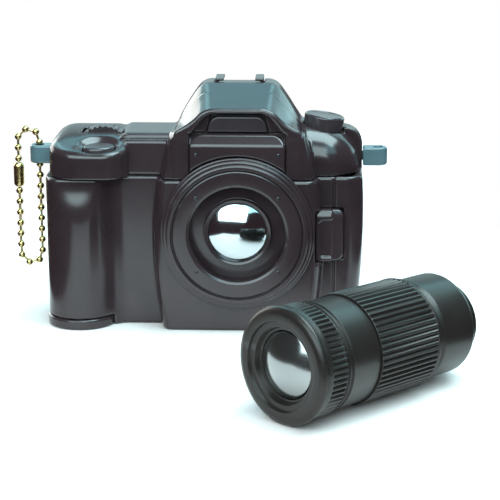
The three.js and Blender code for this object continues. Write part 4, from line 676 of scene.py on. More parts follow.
SHOE_ROOM_DEEP = 1.9
WHEEL_ROOM = 0.6
WHEEL_SIDE_ROOM = 0.24
EYE_HOLE = (5.6, 3.6, 1.0)
EYE_FROM = 8.0
KEY_ROOM = (5.5, 3.8)
FLANGE_ROOM = (6.5, 4.8)
FLANGE_ROOM_Z = 55.0
FLANGE_ROOM_HALF = 1.6


# Half width, half height and corner radius about the eyepiece
def about_eye(x, z, half_x, half_z, r):
    return rect(x, z, -half_x, half_x, EYE_Z - half_z, EYE_Z + half_z, r)


def housing(x, y, z):
    front, rear = HOUSING_CORNERS
    left = x < HOUSING_MID_X
    r = np.where(y < HOUSING_MID_Y, np.where(left, *front), np.where(left, *rear))
    plan = rect(x, y, -HOUSING_LEFT, -HOUSING_RIGHT, -HOUSING_FRONT, SLAB, r)
    f = prism(plan, z, COVER_LOW, HOUSING_Z, 0.0, HOUSING_ROUND)
    return soft_max(f, shutter_slope(y, z), SLOPE_SOFT)


def top_step(x, y, z, front, high, round_top):
    plan = rect(x, y, -TOP_LEFT, TOP_RIGHT, -front, SLAB, TOP_CORNER)
    return prism(plan, z, COVER_LOW, high, 0.0, round_top)


def shoulder(x, y, z):
    r = np.where(x > LOBE_MID_X, *LOBE_CORNERS)
    rear_plan = rect(x, y, TOP_RIGHT, SHOULDER_RIGHT, -LOBE_FRONT, SLAB, r)
    rear_lobe = prism(rear_plan, z, COVER_LOW, SHOULDER_Z, 0.0, LOBE_ROUND)
    leaning = z + DIAL_TILT * (x - FRONT_LOBE_X)
    bulge = np.hypot(np.minimum(y - LOBE_SPLIT_Y, 0.0), np.maximum(leaning - ROLL_Z, 0.0))
    roll = np.hypot(bulge, ROLL_SHARE * np.maximum(x - ROLL_X, 0.0)) - ROLL_R
    front_plan = rect(x, y, TOP_RIGHT, SHOULDER_RIGHT - FRONT_LOBE_IN, -FRONT_LOBE_FRONT, SLAB, r)
    high = SHOULDER_Z - FRONT_LOBE_DOWN
    front_lobe = prism(front_plan, leaning, FRONT_LOBE_LOW, high, 0.0, LOBE_ROUND)
    return np.minimum(corner(rear_lobe, LOBE_SPLIT_Y - y, LOBE_EDGE), soft_max(front_lobe, roll, ROLL_SOFT))


def top_cover(x, y, z):
    plate = top_step(x, y, z, TOP_FRONT, PLATE_Z, TOP_ROUND)
    ledge = top_step(x, y, z, LEDGE_FRONT, PLATE_Z - LEDGE_DOWN, LEDGE_ROUND)
    f = np.minimum(soft_min(housing(x, y, z), plate, PLATE_BLEND), ledge)
    f = soft_min(f, shoulder(x, y, z), SHOULDER_BLEND)
    f = soft_min(soft_min(f, hood(x, y, z), HOOD_BLEND), block(x, y, z) + COVER_IN, BLOCK_BLEND)
    u, v = shutter_plane(x, y)
    long, wide, deep = BOWL
    bowl = np.sqrt((u / long) ** 2 + (v / wide) ** 2 + (shutter_slope(y, z) / deep) ** 2) - 1.0
    f = soft_max(f, -deep * bowl, BOWL_SOFT)
    radius, height = dial_axes(x, y, z)
    f = cut(f, np.maximum(radius - DIAL_R - GAP, -height - DIAL_SEAT_DEEP))
    f = cut(f, arch(x, y, z))
    pocket = np.maximum(panel_back(y, z) - GAP, np.abs(x) - PANEL_HALF - GAP)
    f = cut(f, np.maximum(pocket, z - PANEL_TOP_Z - GAP))
    name_half = NAME_HALF - NAME_LEAN * (z - NAME_FOOT_Z)
    name_room = np.maximum(np.abs(x) - name_half - GAP, np.abs(z - NAME_ROOM_Z) - NAME_ROOM_HALF - GAP)
    f = cut(f, np.maximum(name_room, y + NAME_ROOM_BACK))
    f = cut(f, np.maximum(rect(x, y, *SHOE_ROOM), HOOD_TOP_Z - SHOE_ROOM_DEEP - z))
    f = np.maximum(f, -(f + WALL))
    wheel = disc(x, z, WHEEL[0], WHEEL[2], WHEEL_R + WHEEL_ROOM)
    slot = np.maximum(wheel, np.abs(y - WHEEL[1]) - WHEEL_HALF - WHEEL_SIDE_ROOM)
    eye = np.maximum(about_eye(x, z, *EYE_HOLE), EYE_FROM - y)
    stem = np.maximum(radius - DIAL_STEM_R, np.abs(height) - DIAL_STEM_LONG)
    under = np.maximum(radius - CLIP_ROOM[0], np.abs(height + CLIP_ROOM[1]) - CLIP_ROOM[2])
    flange = np.maximum(oval(u, v, *FLANGE_ROOM), np.abs(z - FLANGE_ROOM_Z) - FLANGE_ROOM_HALF)
    f = cut(f, slot, eye, stem, under, flange, oval(u, v, *KEY_ROOM))
    return np.maximum(f, SEAM_Z + GAP / 2 - z)


shaped("top_case", top_cover, (-63, -22, 50.5), (42, 13, 80.2), STEP_COVER, SHELL, "top_cover")

# Front panel, bare plate and base cap
PANEL_LEAN = (0.794, 0.607)
PANEL_RIDGE_SOFT = 0.5
PANEL_LOW = 20.0
PANEL_ROUND = 4.2
PANEL_EDGE = 0.7
NAME_Z = 68.5
NAME_HIGH = 2.5
NAME_ROUND = 2.6
NAME_FOOT_ROUND = 0.5
NAME_FRONT = 17.4
NAME_BACK = 16.2
NAME_EDGE = 0.5
CAP_ROUND = 0.7
CAP_SCREW_Y = -10.5
CAP_SEAT_HIGH = 2.2


def front_panel(x, y, z):
    lean = -PANEL_LEAN[0] * (y + PANEL_FRONT) + PANEL_LEAN[1] * (z - PANEL_RIDGE_Z)
    face = soft_max(-PANEL_FRONT - y, lean, PANEL_RIDGE_SOFT)
    outline = rect(x, z, -PANEL_HALF, PANEL_HALF, PANEL_LOW, PANEL_TOP_Z, PANEL_ROUND)
    outline = np.maximum(outline, RING_CLEAR - np.hypot(x, z - AXIS_Z))
    return np.maximum(soft_max(face, outline, PANEL_EDGE), panel_back(y, z))


def name_plate(x, y, z):
    across = np.abs(x) - NAME_HALF + NAME_LEAN * (z - NAME_FOOT_Z)
    plan = corner(across, np.abs(z - NAME_Z) - NAME_HIGH, np.where(z > NAME_Z, NAME_ROUND, NAME_FOOT_ROUND))
    return np.maximum(soft_max(plan, -NAME_FRONT - y, NAME_EDGE), y + NAME_BACK)


def grip_cap(x, y, z):
    f = prism(cap_plan(x, y, 0.0), z, 0.0, CAP_H, CAP_ROUND, CAP_ROUND)
    seat = np.hypot(x - GRIP_X, y - CAP_SCREW_Y)
    return cut(f, np.maximum(seat - HEAD_ROOM_R, z - CAP_SEAT_HIGH), seat - SHANK_ROOM_R)


shaped("front_plate", front_panel, (-15.4, -21.3, 50), (15.4, -16.5, 65.7), STEP_SMALL,
       SHELL, "front_panel")
shaped("bare_plate", name_plate, (-10, -17.5, 65.9), (10, -16.1, 71.7), STEP_FINE, TRIM, "name_plate")
shaped("base_cap", grip_cap, (-64, -22, 0), (-40.8, -3.9, 3.5), STEP_PLATE, SHELL, "grip_cap")

# Buttons
KEY = (5.2, 3.5)
KEY_DOWN = 0.5
KEY_TILT = 0.12
KEY_SOFT = 1.1
KEY_LOW = 55.2
FLANGE = (6.0, 4.3)
FLANGE_HIGH = 56.3
PEG_R = 1.4
PEG_LOW = 54.2
PEG_HIGH = 56.0
TAB_FRONT = 16.8
TAB_OVER = 1.0
TAB_ROUND = 0.8
LEAF_FRONT = 15.8
LEAF_ROUND = 2.2
LEAF_FALL = 1.2
LEAF_FROM = 0.4
PAD_EDGE = 0.7
PAD_BEVEL = (0.9, 0.43)
PAD_BEVEL_LONG = 1.8
PAD_BEVEL_SOFT = 0.4
PAD_DISH_SIDES = (1.3, 1.1)
PAD_DISH_ENDS = (1.6, 3.2)
PAD_DISH_ROUND = 1.5
PAD_DISH_Y = 15.9
PAD_DISH_SHARE = 0.8
PAD_DISH_SOFT = 0.8
PAD_STOP_Y = 9.4
PAD_FLANGE_OUT = 1.1
PAD_FLANGE_Y = 9.6
PAD_FLANGE_HALF = 0.6


def shutter_button(x, y, z):
    u, v = shutter_plane(x, y)
    top = z - SHUTTER[2] + KEY_DOWN - KEY_TILT * (y - SHUTTER[1])
    stem = np.maximum(soft_max(oval(u, v, *KEY), top, KEY_SOFT), KEY_LOW - z)
    flange = np.maximum(oval(u, v, *FLANGE), np.maximum(z - FLANGE_HIGH, KEY_LOW - z))
    peg = disc(x, y, SHUTTER[0], SHUTTER[1], PEG_R)
    peg = np.maximum(peg, np.maximum(PEG_LOW - z, z - PEG_HIGH))
    return np.minimum(np.minimum(stem, flange), peg)


def release_button(x, y, z):
    x0, x1, z0, z1 = PAD
    middle = (x0 + x1) / 2
    step = np.clip((x - middle - LEAF_FROM) / (x1 - middle), 0.0, 1.0) * LEAF_FALL

    def raised(plan, face):
        bevel = PAD_BEVEL[0] * face + PAD_BEVEL[1] * (z - z1 + PAD_BEVEL_LONG)
        return soft_max(soft_max(plan, face, PAD_EDGE), bevel, PAD_BEVEL_SOFT)

    tab = raised(rect(x, z, x0, middle + TAB_OVER, z0, z1, TAB_ROUND), -TAB_FRONT - y)
    leaf = raised(rect(x, z, x0, x1, z0, z1, LEAF_ROUND), -LEAF_FRONT + step - y)
    front = soft_min(tab, leaf, PAD_BEVEL_SOFT)
    left, right = PAD_DISH_SIDES
    low, high = PAD_DISH_ENDS
    dish = rect(x, z, x0 + left, x1 - right, z0 + low, z1 - high, PAD_DISH_ROUND)
    dish = np.maximum(dish, y + PAD_DISH_Y)
    front = np.maximum(soft_max(front, -PAD_DISH_SHARE * dish, PAD_DISH_SOFT), y + PAD_STOP_Y)
    out = PAD_FLANGE_OUT
    flange = rect(x, z, x0 - out, x1 + out, z0 - out, z1 + out, PAD_ROUND)
    return np.minimum(front, np.maximum(flange, np.abs(y + PAD_FLANGE_Y) - PAD_FLANGE_HALF))


shaped("shutter_key", shutter_button, (-52, -19, 54.1), (-39, -9, 63), STEP_FINE,
       TRIM, "shutter_button", "shutter")
shaped("release_key", release_button, (24.2, -17, 21.8), (35.8, -8.9, 41.2), STEP_SMALL,
       SHELL, "release_button", "lens_release")

# Lugs
LUG_ROUND = 0.7
LUG_PEG_R = 1.5
LUG_PEG_FROM = -3.4
LUG_PEG_TO = 2.0
LUG_EYE_R = 1.8
LUG_EYE_SOFT = 0.5
LUG_MARGIN = 0.1


def lug(x, y, z):
    straight = np.maximum(np.abs(y) - LUG_HALF, GAP - x)
    plan = np.where(x > LUG_REACH, disc(x, y, LUG_REACH, 0.0, LUG_HALF), straight)
    f = prism(plan, z, LUG_LOW, LUG_HIGH, LUG_ROUND, LUG_ROUND)
    peg = disc(y, z, 0.0, (LUG_LOW + LUG_HIGH) / 2, LUG_PEG_R)
    peg = np.maximum(peg, np.maximum(LUG_PEG_FROM - x, x - LUG_PEG_TO))
    return soft_max(np.minimum(f, peg), -disc(x, y, LUG_REACH, 0.0, LUG_EYE_R), LUG_EYE_SOFT)


for side, place, node in ((1, SHOULDER_RIGHT, "strap_lug_right"), (-1, HOUSING_LEFT, "strap_lug_left")):
    def placed(x, y, z, side=side, place=place):
        return lug(side * x - place, y - LUG_Y, z)

    near = side * (place + LUG_PEG_FROM - LUG_MARGIN)
    far = side * (place + LUG_REACH + LUG_HALF + LUG_MARGIN)
    box_low = (min(near, far), -1.2, 51.8)
    box_high = (max(near, far), 5.2, 58.1)
    shaped(node.replace("strap", "loop"), placed, box_low, box_high, STEP_SMALL, LUG, node)

# Shoe, eyepiece and back panel
SHOE_BASE = 1.6
SHOE_Y = 3.0
SHOE_LONG = 5.2
SHOE_HALF = 7.9
SHOE_FLOOR = 0.8
SHOE_RAIL = (7.3, 0.6)
SHOE_LIP = (6.55, 1.35)
SHOE_LIP_LOW = 2.0
SHOE_HIGH = 2.8
SHOE_EDGE = 0.4
RIM = (8.5, 6.0, 2.5)
RIM_FROM = 12.8
RIM_TO = 16.6
RIM_EDGE = 0.9
REBATE = (7.1, 5.1, 1.3)
REBATE_FROM = 14.2
WINDOW = (6.8, 4.8, 1.0)
WINDOW_Y = 15.1
WINDOW_THICK = 0.6
WINDOW_EDGE = 0.3
REAR_FROM = 11.8
REAR_TO = 13.0
REAR_EDGE = 0.8
REAR_FIELD_IN = 4.0
REAR_FIELD_ROUND = 2.0
REAR_FIELD_Y = 12.75
REAR_FIELD_SOFT = 0.3
RIB_HIGH = 0.12
RIB_PITCH = 3.0


def shoe(x, y, z):
    base = HOOD_TOP_Z - SHOE_BASE
    ax = np.abs(x)
    ends = np.abs(y - SHOE_Y) - SHOE_LONG
    below = base - z
    above = z - base - SHOE_HIGH
    floor = np.maximum(np.maximum(ax - SHOE_HALF, ends), np.maximum(below, z - base - SHOE_FLOOR))
    rail = np.maximum(np.abs(ax - SHOE_RAIL[0]) - SHOE_RAIL[1], np.maximum(below, above))
    lip = np.maximum(np.abs(ax - SHOE_LIP[0]) - SHOE_LIP[1], np.maximum(below + SHOE_LIP_LOW, above))
    return np.minimum(floor, soft_max(np.minimum(rail, lip), ends, SHOE_EDGE))


def eyepiece(x, y, z):
    f = soft_max(about_eye(x, z, *RIM), y - RIM_TO, RIM_EDGE)
    f = np.maximum(f, RIM_FROM - y)
    rebate = np.maximum(about_eye(x, z, *REBATE), REBATE_FROM - y)
    return cut(f, about_eye(x, z, *EYE_HOLE), rebate)


def eye_window(x, y, z):
    return soft_max(about_eye(x, z, *WINDOW), np.abs(y - WINDOW_Y) - WINDOW_THICK, WINDOW_EDGE)


def rear_panel(x, y, z):
    x0, x1, z0, z1 = REAR_BOX
    f = soft_max(rect(x, z, x0, x1, z0, z1, REAR_ROUND), y - REAR_TO, REAR_EDGE)
    ribs = RIB_HIGH * np.cos(2 * math.pi * z / RIB_PITCH)
    i = REAR_FIELD_IN
    inner = rect(x, z, x0 + i, x1 - i, z0 + i, z1 - i, REAR_FIELD_ROUND)
    f = soft_max(f, -np.maximum(inner, REAR_FIELD_Y + ribs - y), REAR_FIELD_SOFT)
    return np.maximum(f, REAR_FROM - y)


shaped("shoe", shoe, (-8, -2.3, 78.2), (8, 8.3, 81.2), STEP_FINE, SHELL, "accessory_shoe")
shaped("eyepiece_rim", eyepiece, (-8.6, 12.7, 64.9), (8.6, 16.7, 77.1), STEP_SMALL,
       TRIM, "eyepiece_frame")
shaped("eyepiece_glass", eye_window, (-6.9, 14.4, 66.1), (6.9, 15.8, 75.9), STEP_SMALL,
       CLEAR, "eyepiece_window")
shaped("rear_plate", rear_panel, (-42.1, 11.7, 7.9), (26.1, 13.1, 44.1), STEP_PLATE,
       TRIM, "rear_panel")

# Turned pieces: a closed profile of (radius, place, rib share) round an axis
EASE_STEPS = (0.0, 0.33, 0.67, 1.0)
EASE_SHARE = 0.4
EASE_STRAIGHT = 0.17
RIB_SPLIT = 8
RIB_STEEP = 1.6
RIB_FLAT = 0.45
SHARP_TURNED = math.radians(32)
ON_AXIS = 1e-6
UPRIGHT = 0.1


def eased(profile, size):
    points = []
    count = len(profile)
    for i, (r, s, rib) in enumerate(profile):
        before, after = profile[i - 1], profile[(i + 1) % count]
        a = np.array((before[0] - r, before[1] - s))
        b = np.array((after[0] - r, after[1] - s))
        la, lb = np.linalg.norm(a), np.linalg.norm(b)
        if r < ON_AXIS or abs(np.cross(a, b)) < EASE_STRAIGHT * la * lb:
            points.append((r, s, rib))
            continue
        cut_back = min(size, EASE_SHARE * la, EASE_SHARE * lb)
        p, q = a / la * cut_back, b / lb * cut_back
        for t in EASE_STEPS:
            m = p * (1 - t) ** 2 + q * t ** 2
            points.append((r + m[0], s + m[1], rib))
    return points


def face_outward(mesh):
    volume = 0.0
    for f in mesh.polygons:
        c = [mesh.vertices[v].co for v in f.vertices]
        for j in range(1, len(c) - 1):
            volume += c[0].dot(c[j].cross(c[j + 1]))
    if volume < 0:
        mesh.flip_normals()


def turned(name, profile, place, axis, segments=96, ribs=0, depth=0.0, ease=0.2):
    axis = np.array(Vector(axis).normalized())
    side = np.cross(axis, (0.0, 0.0, 1.0))
    if np.linalg.norm(side) < UPRIGHT:
        side = np.array((1.0, 0.0, 0.0))
    side = side / np.linalg.norm(side)
    up = np.cross(side, axis)
    profile = eased([p if len(p) == 3 else (*p, 0.0) for p in profile], ease)
    count = ribs * RIB_SPLIT if ribs else segments
    angle = 2 * math.pi * np.arange(count) / count
    wave = np.zeros(count)
    if ribs:
        share = (np.arange(count) % RIB_SPLIT) / RIB_SPLIT
        wave = np.clip(RIB_STEEP * np.abs(2 * share - 1) - RIB_FLAT, 0.0, 1.0)
    points = []
    rows = []
    for r, s, rib in profile:
        if r < ON_AXIS:
            rows.append([len(points)] * count)
            points.append(np.array(place) + axis * s)
            continue
        radius = r - rib * depth * wave
        ring = np.outer(radius * np.cos(angle), side) + np.outer(radius * np.sin(angle), up)
        rows.append(list(range(len(points), len(points) + count)))
        points.extend(np.array(place) + axis * s + ring)
    faces = []
    open_ends = profile[0][0] < ON_AXIS and profile[-1][0] < ON_AXIS
    for i in range(len(rows) - (1 if open_ends else 0)):
        a, b = rows[i], rows[(i + 1) % len(rows)]
        for k in range(count):
            m = (k + 1) % count
            loop = [a[k], a[m], b[m], b[k]]
            face = [p for j, p in enumerate(loop) if p not in loop[:j]]
            if len(face) > 2:
                faces.append(face)
    piece = make(name, np.array(points), faces, SHARP_TURNED)
    face_outward(piece.data)
    return piece


def crown(radius, sag, base, steps):
    sphere = (radius ** 2 + sag ** 2) / (2 * sag)
    half = math.asin(radius / sphere)
    ring = []
    for i in range(steps + 1):
        a = half * (1 - i / steps)
        r = sphere * math.sin(a) if i < steps else 0.0
        ring.append((r, base + sag - sphere + sphere * math.cos(a)))
    return ring


# Lens mount
MOUNT = (0.0, -BLOCK_FRONT, AXIS_Z)
FRONTWARD = (0.0, -1.0, 0.0)
DOME_R = 9.7
DOME_SAG = 2.8
DOME_BASE = -0.6
ring_profile = [
    (15.8, -2.2), (15.8, 2.55), (16.6, 3.0), (20.7, 3.0), (21.2, 2.75), (21.25, 2.3), (21.6, 2.3),
    (21.7, 3.5), (22.6, 3.5), (23.1, 3.25), (23.15, 2.7), (23.8, 2.7), (24.3, 2.45), (24.35, 1.6),
    (24.8, 1.6), (25.2, 1.35), (25.2, 0.3), (16.5, 0.3), (16.5, -2.2),
]
cone_profile = [
    (8.9, -4.5), (8.9, -0.9), (9.95, -0.9), (9.95, -0.75), (10.7, -0.4), (10.95, -0.4), (11.2, -2.5),
    (21.0, -2.5), (21.0, -4.5),
]
dome_profile = [(0.0, -4.5), (8.6, -4.5), (8.6, DOME_BASE), *crown(DOME_R, DOME_SAG, DOME_BASE, 18)]
finish_piece(turned("mount_collar", ring_profile, MOUNT, FRONTWARD, 128, ease=0.1), SHELL, "mount_ring")
finish_piece(turned("mount_floor", cone_profile, MOUNT, FRONTWARD), SHELL, "mount_cone")
finish_piece(turned("dome", dome_profile, MOUNT, FRONTWARD, ease=0.1), MIRROR, "taking_lens")

# Pins and screws: shank and head radius, head height, length and rise of the crown
PIN = (0.5, 0.85, 0.65, 6.5, 0.45)
BOLT = (1.1, 2.2, 1.6, 14.0, 0.25)
SHORT_BOLT = (1.1, 2.2, 1.6, 9.8, 0.25)
SCREW_SOFT = 0.15
RECESS_HALF = 0.16
RECESS_LONG = 0.62
RECESS_DEEP = 0.45
NECK_SHARE = 0.6
HEAD_STEPS = 11.0
PANEL_PINS = [(-13.31, 59.2), (13.31, 59.2)]
PANEL_PIN_IN = 0.25
MOUNT_PINS = [(x, AXIS_Z + z) for x in (-13.3, 13.3) for z in (12.3, -12.3)]
MOUNT_PIN_OUT = 2.75
CASE_SEAT_Y = 6.9
CAP_SEAT_Z = 0.3


def screw_mesh(name, sizes, crossed):
    shank, head, high, length, cap = sizes
    sphere = (head ** 2 + cap ** 2) / (2 * cap)

    def field(x, y, z):
        r = np.hypot(x, z)
        f = np.maximum(r - head, -high - y)
        f = soft_max(f, np.hypot(r, y - cap + sphere) - sphere, SCREW_SOFT)
        if crossed:
            half, reach = RECESS_HALF * head, RECESS_LONG * head
            slot = np.minimum(np.maximum(np.abs(x) - half, np.abs(z) - reach),
                              np.maximum(np.abs(z) - half, np.abs(x) - reach))
            f = cut(f, np.maximum(slot, -RECESS_DEEP * high - y))
        body = np.maximum(r - shank, np.maximum(-length - y, y + high * NECK_SHARE))
        return np.minimum(f, body)

    return skin(name, field, (-head, -length, -head), (head, cap, head), head / HEAD_STEPS)


def place_screws(name, sizes, crossed, places):
    template = screw_mesh(name, sizes, crossed)
    template.data.materials.append(dark_steel)
    for node, place, axis in places:
        piece = bpy.data.objects.new(node.replace("screw", "fixing"), template.data)
        scene.collection.objects.link(piece)
        turn = Vector((0, 1, 0)).rotation_difference(Vector(axis)).to_matrix().to_4x4()
        piece.matrix_world = Matrix.Translation(Vector(place) * MM) @ turn
        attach(piece, "camera")
        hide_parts(node)
    bpy.data.objects.remove(template)


def numbered(name, spots, y, axis):
    return [(f"{name}_{i + 1}", (x, y, z), axis) for i, (x, z) in enumerate(spots)]


panel_pins = numbered("panel_screw", PANEL_PINS, -PANEL_FRONT + PANEL_PIN_IN, FRONTWARD)
mount_pins = numbered("mount_screw", MOUNT_PINS, -BLOCK_FRONT - MOUNT_PIN_OUT, FRONTWARD)
case_bolts = numbered("case_screw", CASE_PLACES, CASE_SEAT_Y, (0, 1, 0))
cap_bolt = ("cap_screw", (GRIP_X, CAP_SCREW_Y, CAP_SEAT_Z), (0, 0, -1))
place_screws("pin_template", PIN, False, panel_pins + mount_pins)
place_screws("bolt_template", BOLT, True, case_bolts)
place_screws("short_template", SHORT_BOLT, True, [cap_bolt])

# Dials
DIAL_AXIS = (math.sin(DIAL_TILT), 0.0, math.cos(DIAL_TILT))
WHEEL_BORE = 1.6
wheel_profile = [
    (WHEEL_BORE, -WHEEL_HALF, 0), (WHEEL_R, -WHEEL_HALF, 1), (WHEEL_R, WHEEL_HALF, 1),
    (WHEEL_BORE, WHEEL_HALF, 0),
]
dial_profile = [
    (0.0, -5.0), (2.0, -5.0), (2.0, -1.0), (6.3, -1.0), (DIAL_R, -0.7), (DIAL_R, 3.4), (6.2, 4.0),
    (5.4, 4.0), (5.2, 3.8), (0.0, 3.8),
]
finish_piece(turned("command_knob", wheel_profile, WHEEL, (0, 1, 0), ribs=32, depth=0.5, ease=0.3),
             TRIM, "command_dial", "command_wheel")
finish_piece(turned("mode_knob_top", dial_profile, DIAL, DIAL_AXIS), TRIM, "mode_dial", "mode_knob")

# Coil springs under the shutter and release buttons
COIL_R = 2.2
COIL_WIRE = 0.28
COIL_STEPS = 24
COIL_SIDES = 8
SHUTTER_COIL = (51.95, 54.9)
SHUTTER_TURNS = 2
RELEASE_COIL = (-8.7, -3.9)
RELEASE_TURNS = 4
RELEASE_COIL_AT = (30.0, 0.0, 31.5)


def coil(name, place, axis, span, turns):
    low, high = span
    steps = turns * COIL_STEPS
    points = []
    for i in range(steps + 1):
        a = 2 * math.pi * i / COIL_STEPS
        s = low + COIL_WIRE + (high - low - 2 * COIL_WIRE) * i / steps
        for k in range(COIL_SIDES):
            b = 2 * math.pi * k / COIL_SIDES
            r = COIL_R + COIL_WIRE * math.cos(b)
            points.append((r * math.cos(a), r * math.sin(a), s + COIL_WIRE * math.sin(b)))
    faces = []
    for i in range(steps):
        for k in range(COIL_SIDES):
            m = (k + 1) % COIL_SIDES
            a, b = i * COIL_SIDES, (i + 1) * COIL_SIDES
            faces.append([b + k, b + m, a + m, a + k])
    faces.append(list(range(COIL_SIDES)))
    faces.append(list(range(steps * COIL_SIDES, (steps + 1) * COIL_SIDES))[::-1])
    turn = np.array(Vector((0, 0, 1)).rotation_difference(Vector(axis)).to_matrix())
    return make(name, np.array(points) @ turn.T + np.array(place), faces)


def pressed(piece):
    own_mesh(piece)


shutter_coil = coil("shutter_coil", (SHUTTER[0], SHUTTER[1], 0.0), (0, 0, 1), SHUTTER_COIL, SHUTTER_TURNS)
finish_piece(shutter_coil, STEEL, "shutter_spring")
pressed(shutter_coil)
release_coil = coil("release_coil", RELEASE_COIL_AT, (0, 1, 0), RELEASE_COIL, RELEASE_TURNS)
finish_piece(release_coil, STEEL, "release_spring")
pressed(release_coil)

# Loose lens
TELE_AXIS = (
    math.cos(TELE_HEADING) * math.cos(TELE_LEAN),
    math.sin(TELE_HEADING) * math.cos(TELE_LEAN),
    -math.sin(TELE_LEAN),
)
TELE_START = (*TELE_PLACE, TELE_R * math.cos(TELE_LEAN) + TELE_RIM_S * math.sin(TELE_LEAN))
FRONT_GLASS_R = 9.6
FRONT_GLASS_SAG = 2.7
FRONT_GLASS_S = 2.8


def tele(name, profile, look, node, body="tele_lens", **options):
    finish_piece(turned(name, profile, TELE_START, TELE_AXIS, **options), look, node, body)


tele("lens_rim", [
    (13.0, 0.0), (15.2, 0.0), (16.2, 0.4), (16.8, 0.9), (TELE_R, 1.5), (TELE_R, TELE_RIM_S),
    (16.4, TELE_RIM_S), (16.4, 2.5), (16.75, 2.5), (16.75, 3.1), (12.6, 3.1), (12.6, 6.6), (9.9, 6.6),
    (9.9, 2.8), (10.6, 2.8), (11.1, 1.0), (12.7, 1.0),
], LENS, "tele_front_rim")
front_face = [(r, FRONT_GLASS_S - s) for r, s in crown(FRONT_GLASS_R, FRONT_GLASS_SAG, 0.0, 16)][::-1]
tele("lens_front", [*front_face, (FRONT_GLASS_R, 6.9), (10.6, 6.9), (10.6, 8.4), (0.0, 8.4)],
     CLEAR, "tele_front_lens", ease=0.1)
tele("lens_cell", [(7.4, 8.7), (10.6, 8.7), (10.6, 10.3), (7.4, 10.3)], LENS, "tele_lens_cell")
tele("lens_core", [
    (10.9, 6.9), (12.6, 6.9), (12.6, 50.0), (14.6, 50.0), (14.6, 51.3), (14.75, 51.9), (15.1, 52.6),
    (15.3, 53.2), (15.3, 65.3), (15.0, 66.1), (14.1, 66.5), (12.0, 66.5), (12.0, 59.1), (10.9, 59.1),
], LENS, "tele_core")
tele("focus_grip_ring", [
    (12.9, 3.4, 0), (16.5, 3.4, 0), (16.5, 4.6, 0), (16.5, 4.8, 1), (16.5, 10.3, 1), (16.4, 10.5, 1),
    (12.9, 10.5, 0),
], LENS, "tele_focus_ring", "focus_grip", ribs=64, depth=0.55, ease=0.12)
tele("lens_barrel", [
    (12.9, 10.8), (15.8, 10.8), (15.8, 11.3), (16.3, 11.5), (16.3, 11.8), (15.8, 12.0), (15.8, 12.9),
    (16.3, 13.1), (16.3, 13.4), (15.8, 13.6), (15.8, 24.3), (12.9, 24.3),
], LENS, "tele_mid_barrel", ease=0.08)
tele("zoom_grip_ring", [
    (12.9, 24.6, 0), (16.3, 24.6, 0), (16.4, 24.9, 1), (16.4, 48.6, 1), (16.4, 48.9, 0), (16.5, 49.0, 0),
    (16.5, 49.5, 0), (16.3, 49.7, 0), (12.9, 49.7, 0),
], LENS, "tele_zoom_ring", "zoom_grip", ribs=60, depth=0.6, ease=0.12)
tele("lens_back", [(0.0, 59.4), (11.7, 59.4), (11.7, 61.0), (0.0, 61.0)],
     CLEAR, "tele_rear_lens")
tele("lens_stub", [(10.1, 61.3), (11.7, 61.3), (11.7, 71.2), (11.4, 71.5), (10.1, 71.5)],
     LENS, "tele_mount_stub")

# Ball chain through the left lug's eye
BEAD_R = 1.2
BEAD_PITCH = 3.67
BEAD_RINGS = 10
BEAD_SIDES = 16
BEAD_CUT = 0.1
WIRE_R = 0.4
WIRE_SIDES = 8
WIRE_START = 0.8
CHAIN_TURN_R = 3.6
CHAIN_RISE = 1.6
COUPLING_LONG = 8.0
COUPLING_DOWN = 8.0
EYE_X = -HOUSING_LEFT - LUG_REACH
OUTER_X = EYE_X - 2 * CHAIN_TURN_R
ARC_TOP_Z = LUG_HIGH + CHAIN_RISE
FREE_CHAIN = 92.0
STRAND = (FREE_CHAIN - 2 * math.pi * CHAIN_TURN_R + COUPLING_LONG + 2 * GAP) / 2
ARC_LOW_Z = ARC_TOP_Z - STRAND
COUPLING_TOP = ARC_TOP_Z - COUPLING_DOWN
COUPLING_LOW = COUPLING_TOP - COUPLING_LONG
ROUTE_STEPS = 60
SHARP_CHAIN = math.radians(50)
BACKWARD = np.array((0.0, 1.0, 0.0))


def chain_point(s):
    turn_long = math.pi * CHAIN_TURN_R
    first = COUPLING_LOW - GAP - ARC_LOW_Z
    mid_x = EYE_X - CHAIN_TURN_R
    if s < first:
        return (OUTER_X, LUG_Y, COUPLING_LOW - GAP - s)
    s -= first
    if s < turn_long:
        a = math.pi + s / CHAIN_TURN_R
        return (mid_x + CHAIN_TURN_R * math.cos(a), LUG_Y, ARC_LOW_Z + CHAIN_TURN_R * math.sin(a))
    s -= turn_long
    if s < STRAND:
        return (EYE_X, LUG_Y, ARC_LOW_Z + s)
    s -= STRAND
    if s < turn_long:
        a = s / CHAIN_TURN_R
        return (mid_x + CHAIN_TURN_R * math.cos(a), LUG_Y, ARC_TOP_Z + CHAIN_TURN_R * math.sin(a))
    return (OUTER_X, LUG_Y, ARC_TOP_Z - (s - turn_long))


# A closed tube through rings of points
def tube(points, faces, rings):
    base = len(points)
    sides = len(rings[0])
    for ring in rings:
        points.extend(ring)
    for j in range(len(rings) - 1):
        a, b = base + j * sides, base + (j + 1) * sides
        for k in range(sides):
            m = (k + 1) % sides
            faces.append([a + k, a + m, b + m, b + k])
    last = base + (len(rings) - 1) * sides
    faces.append([base + k for k in range(sides)][::-1])
    faces.append([last + k for k in range(sides)])


def hoop(place, across, radius, sides):
    ring = []
    for k in range(sides):
        a = 2 * math.pi * k / sides
        ring.append(place + radius * (across * math.cos(a) + BACKWARD * math.sin(a)))
    return ring


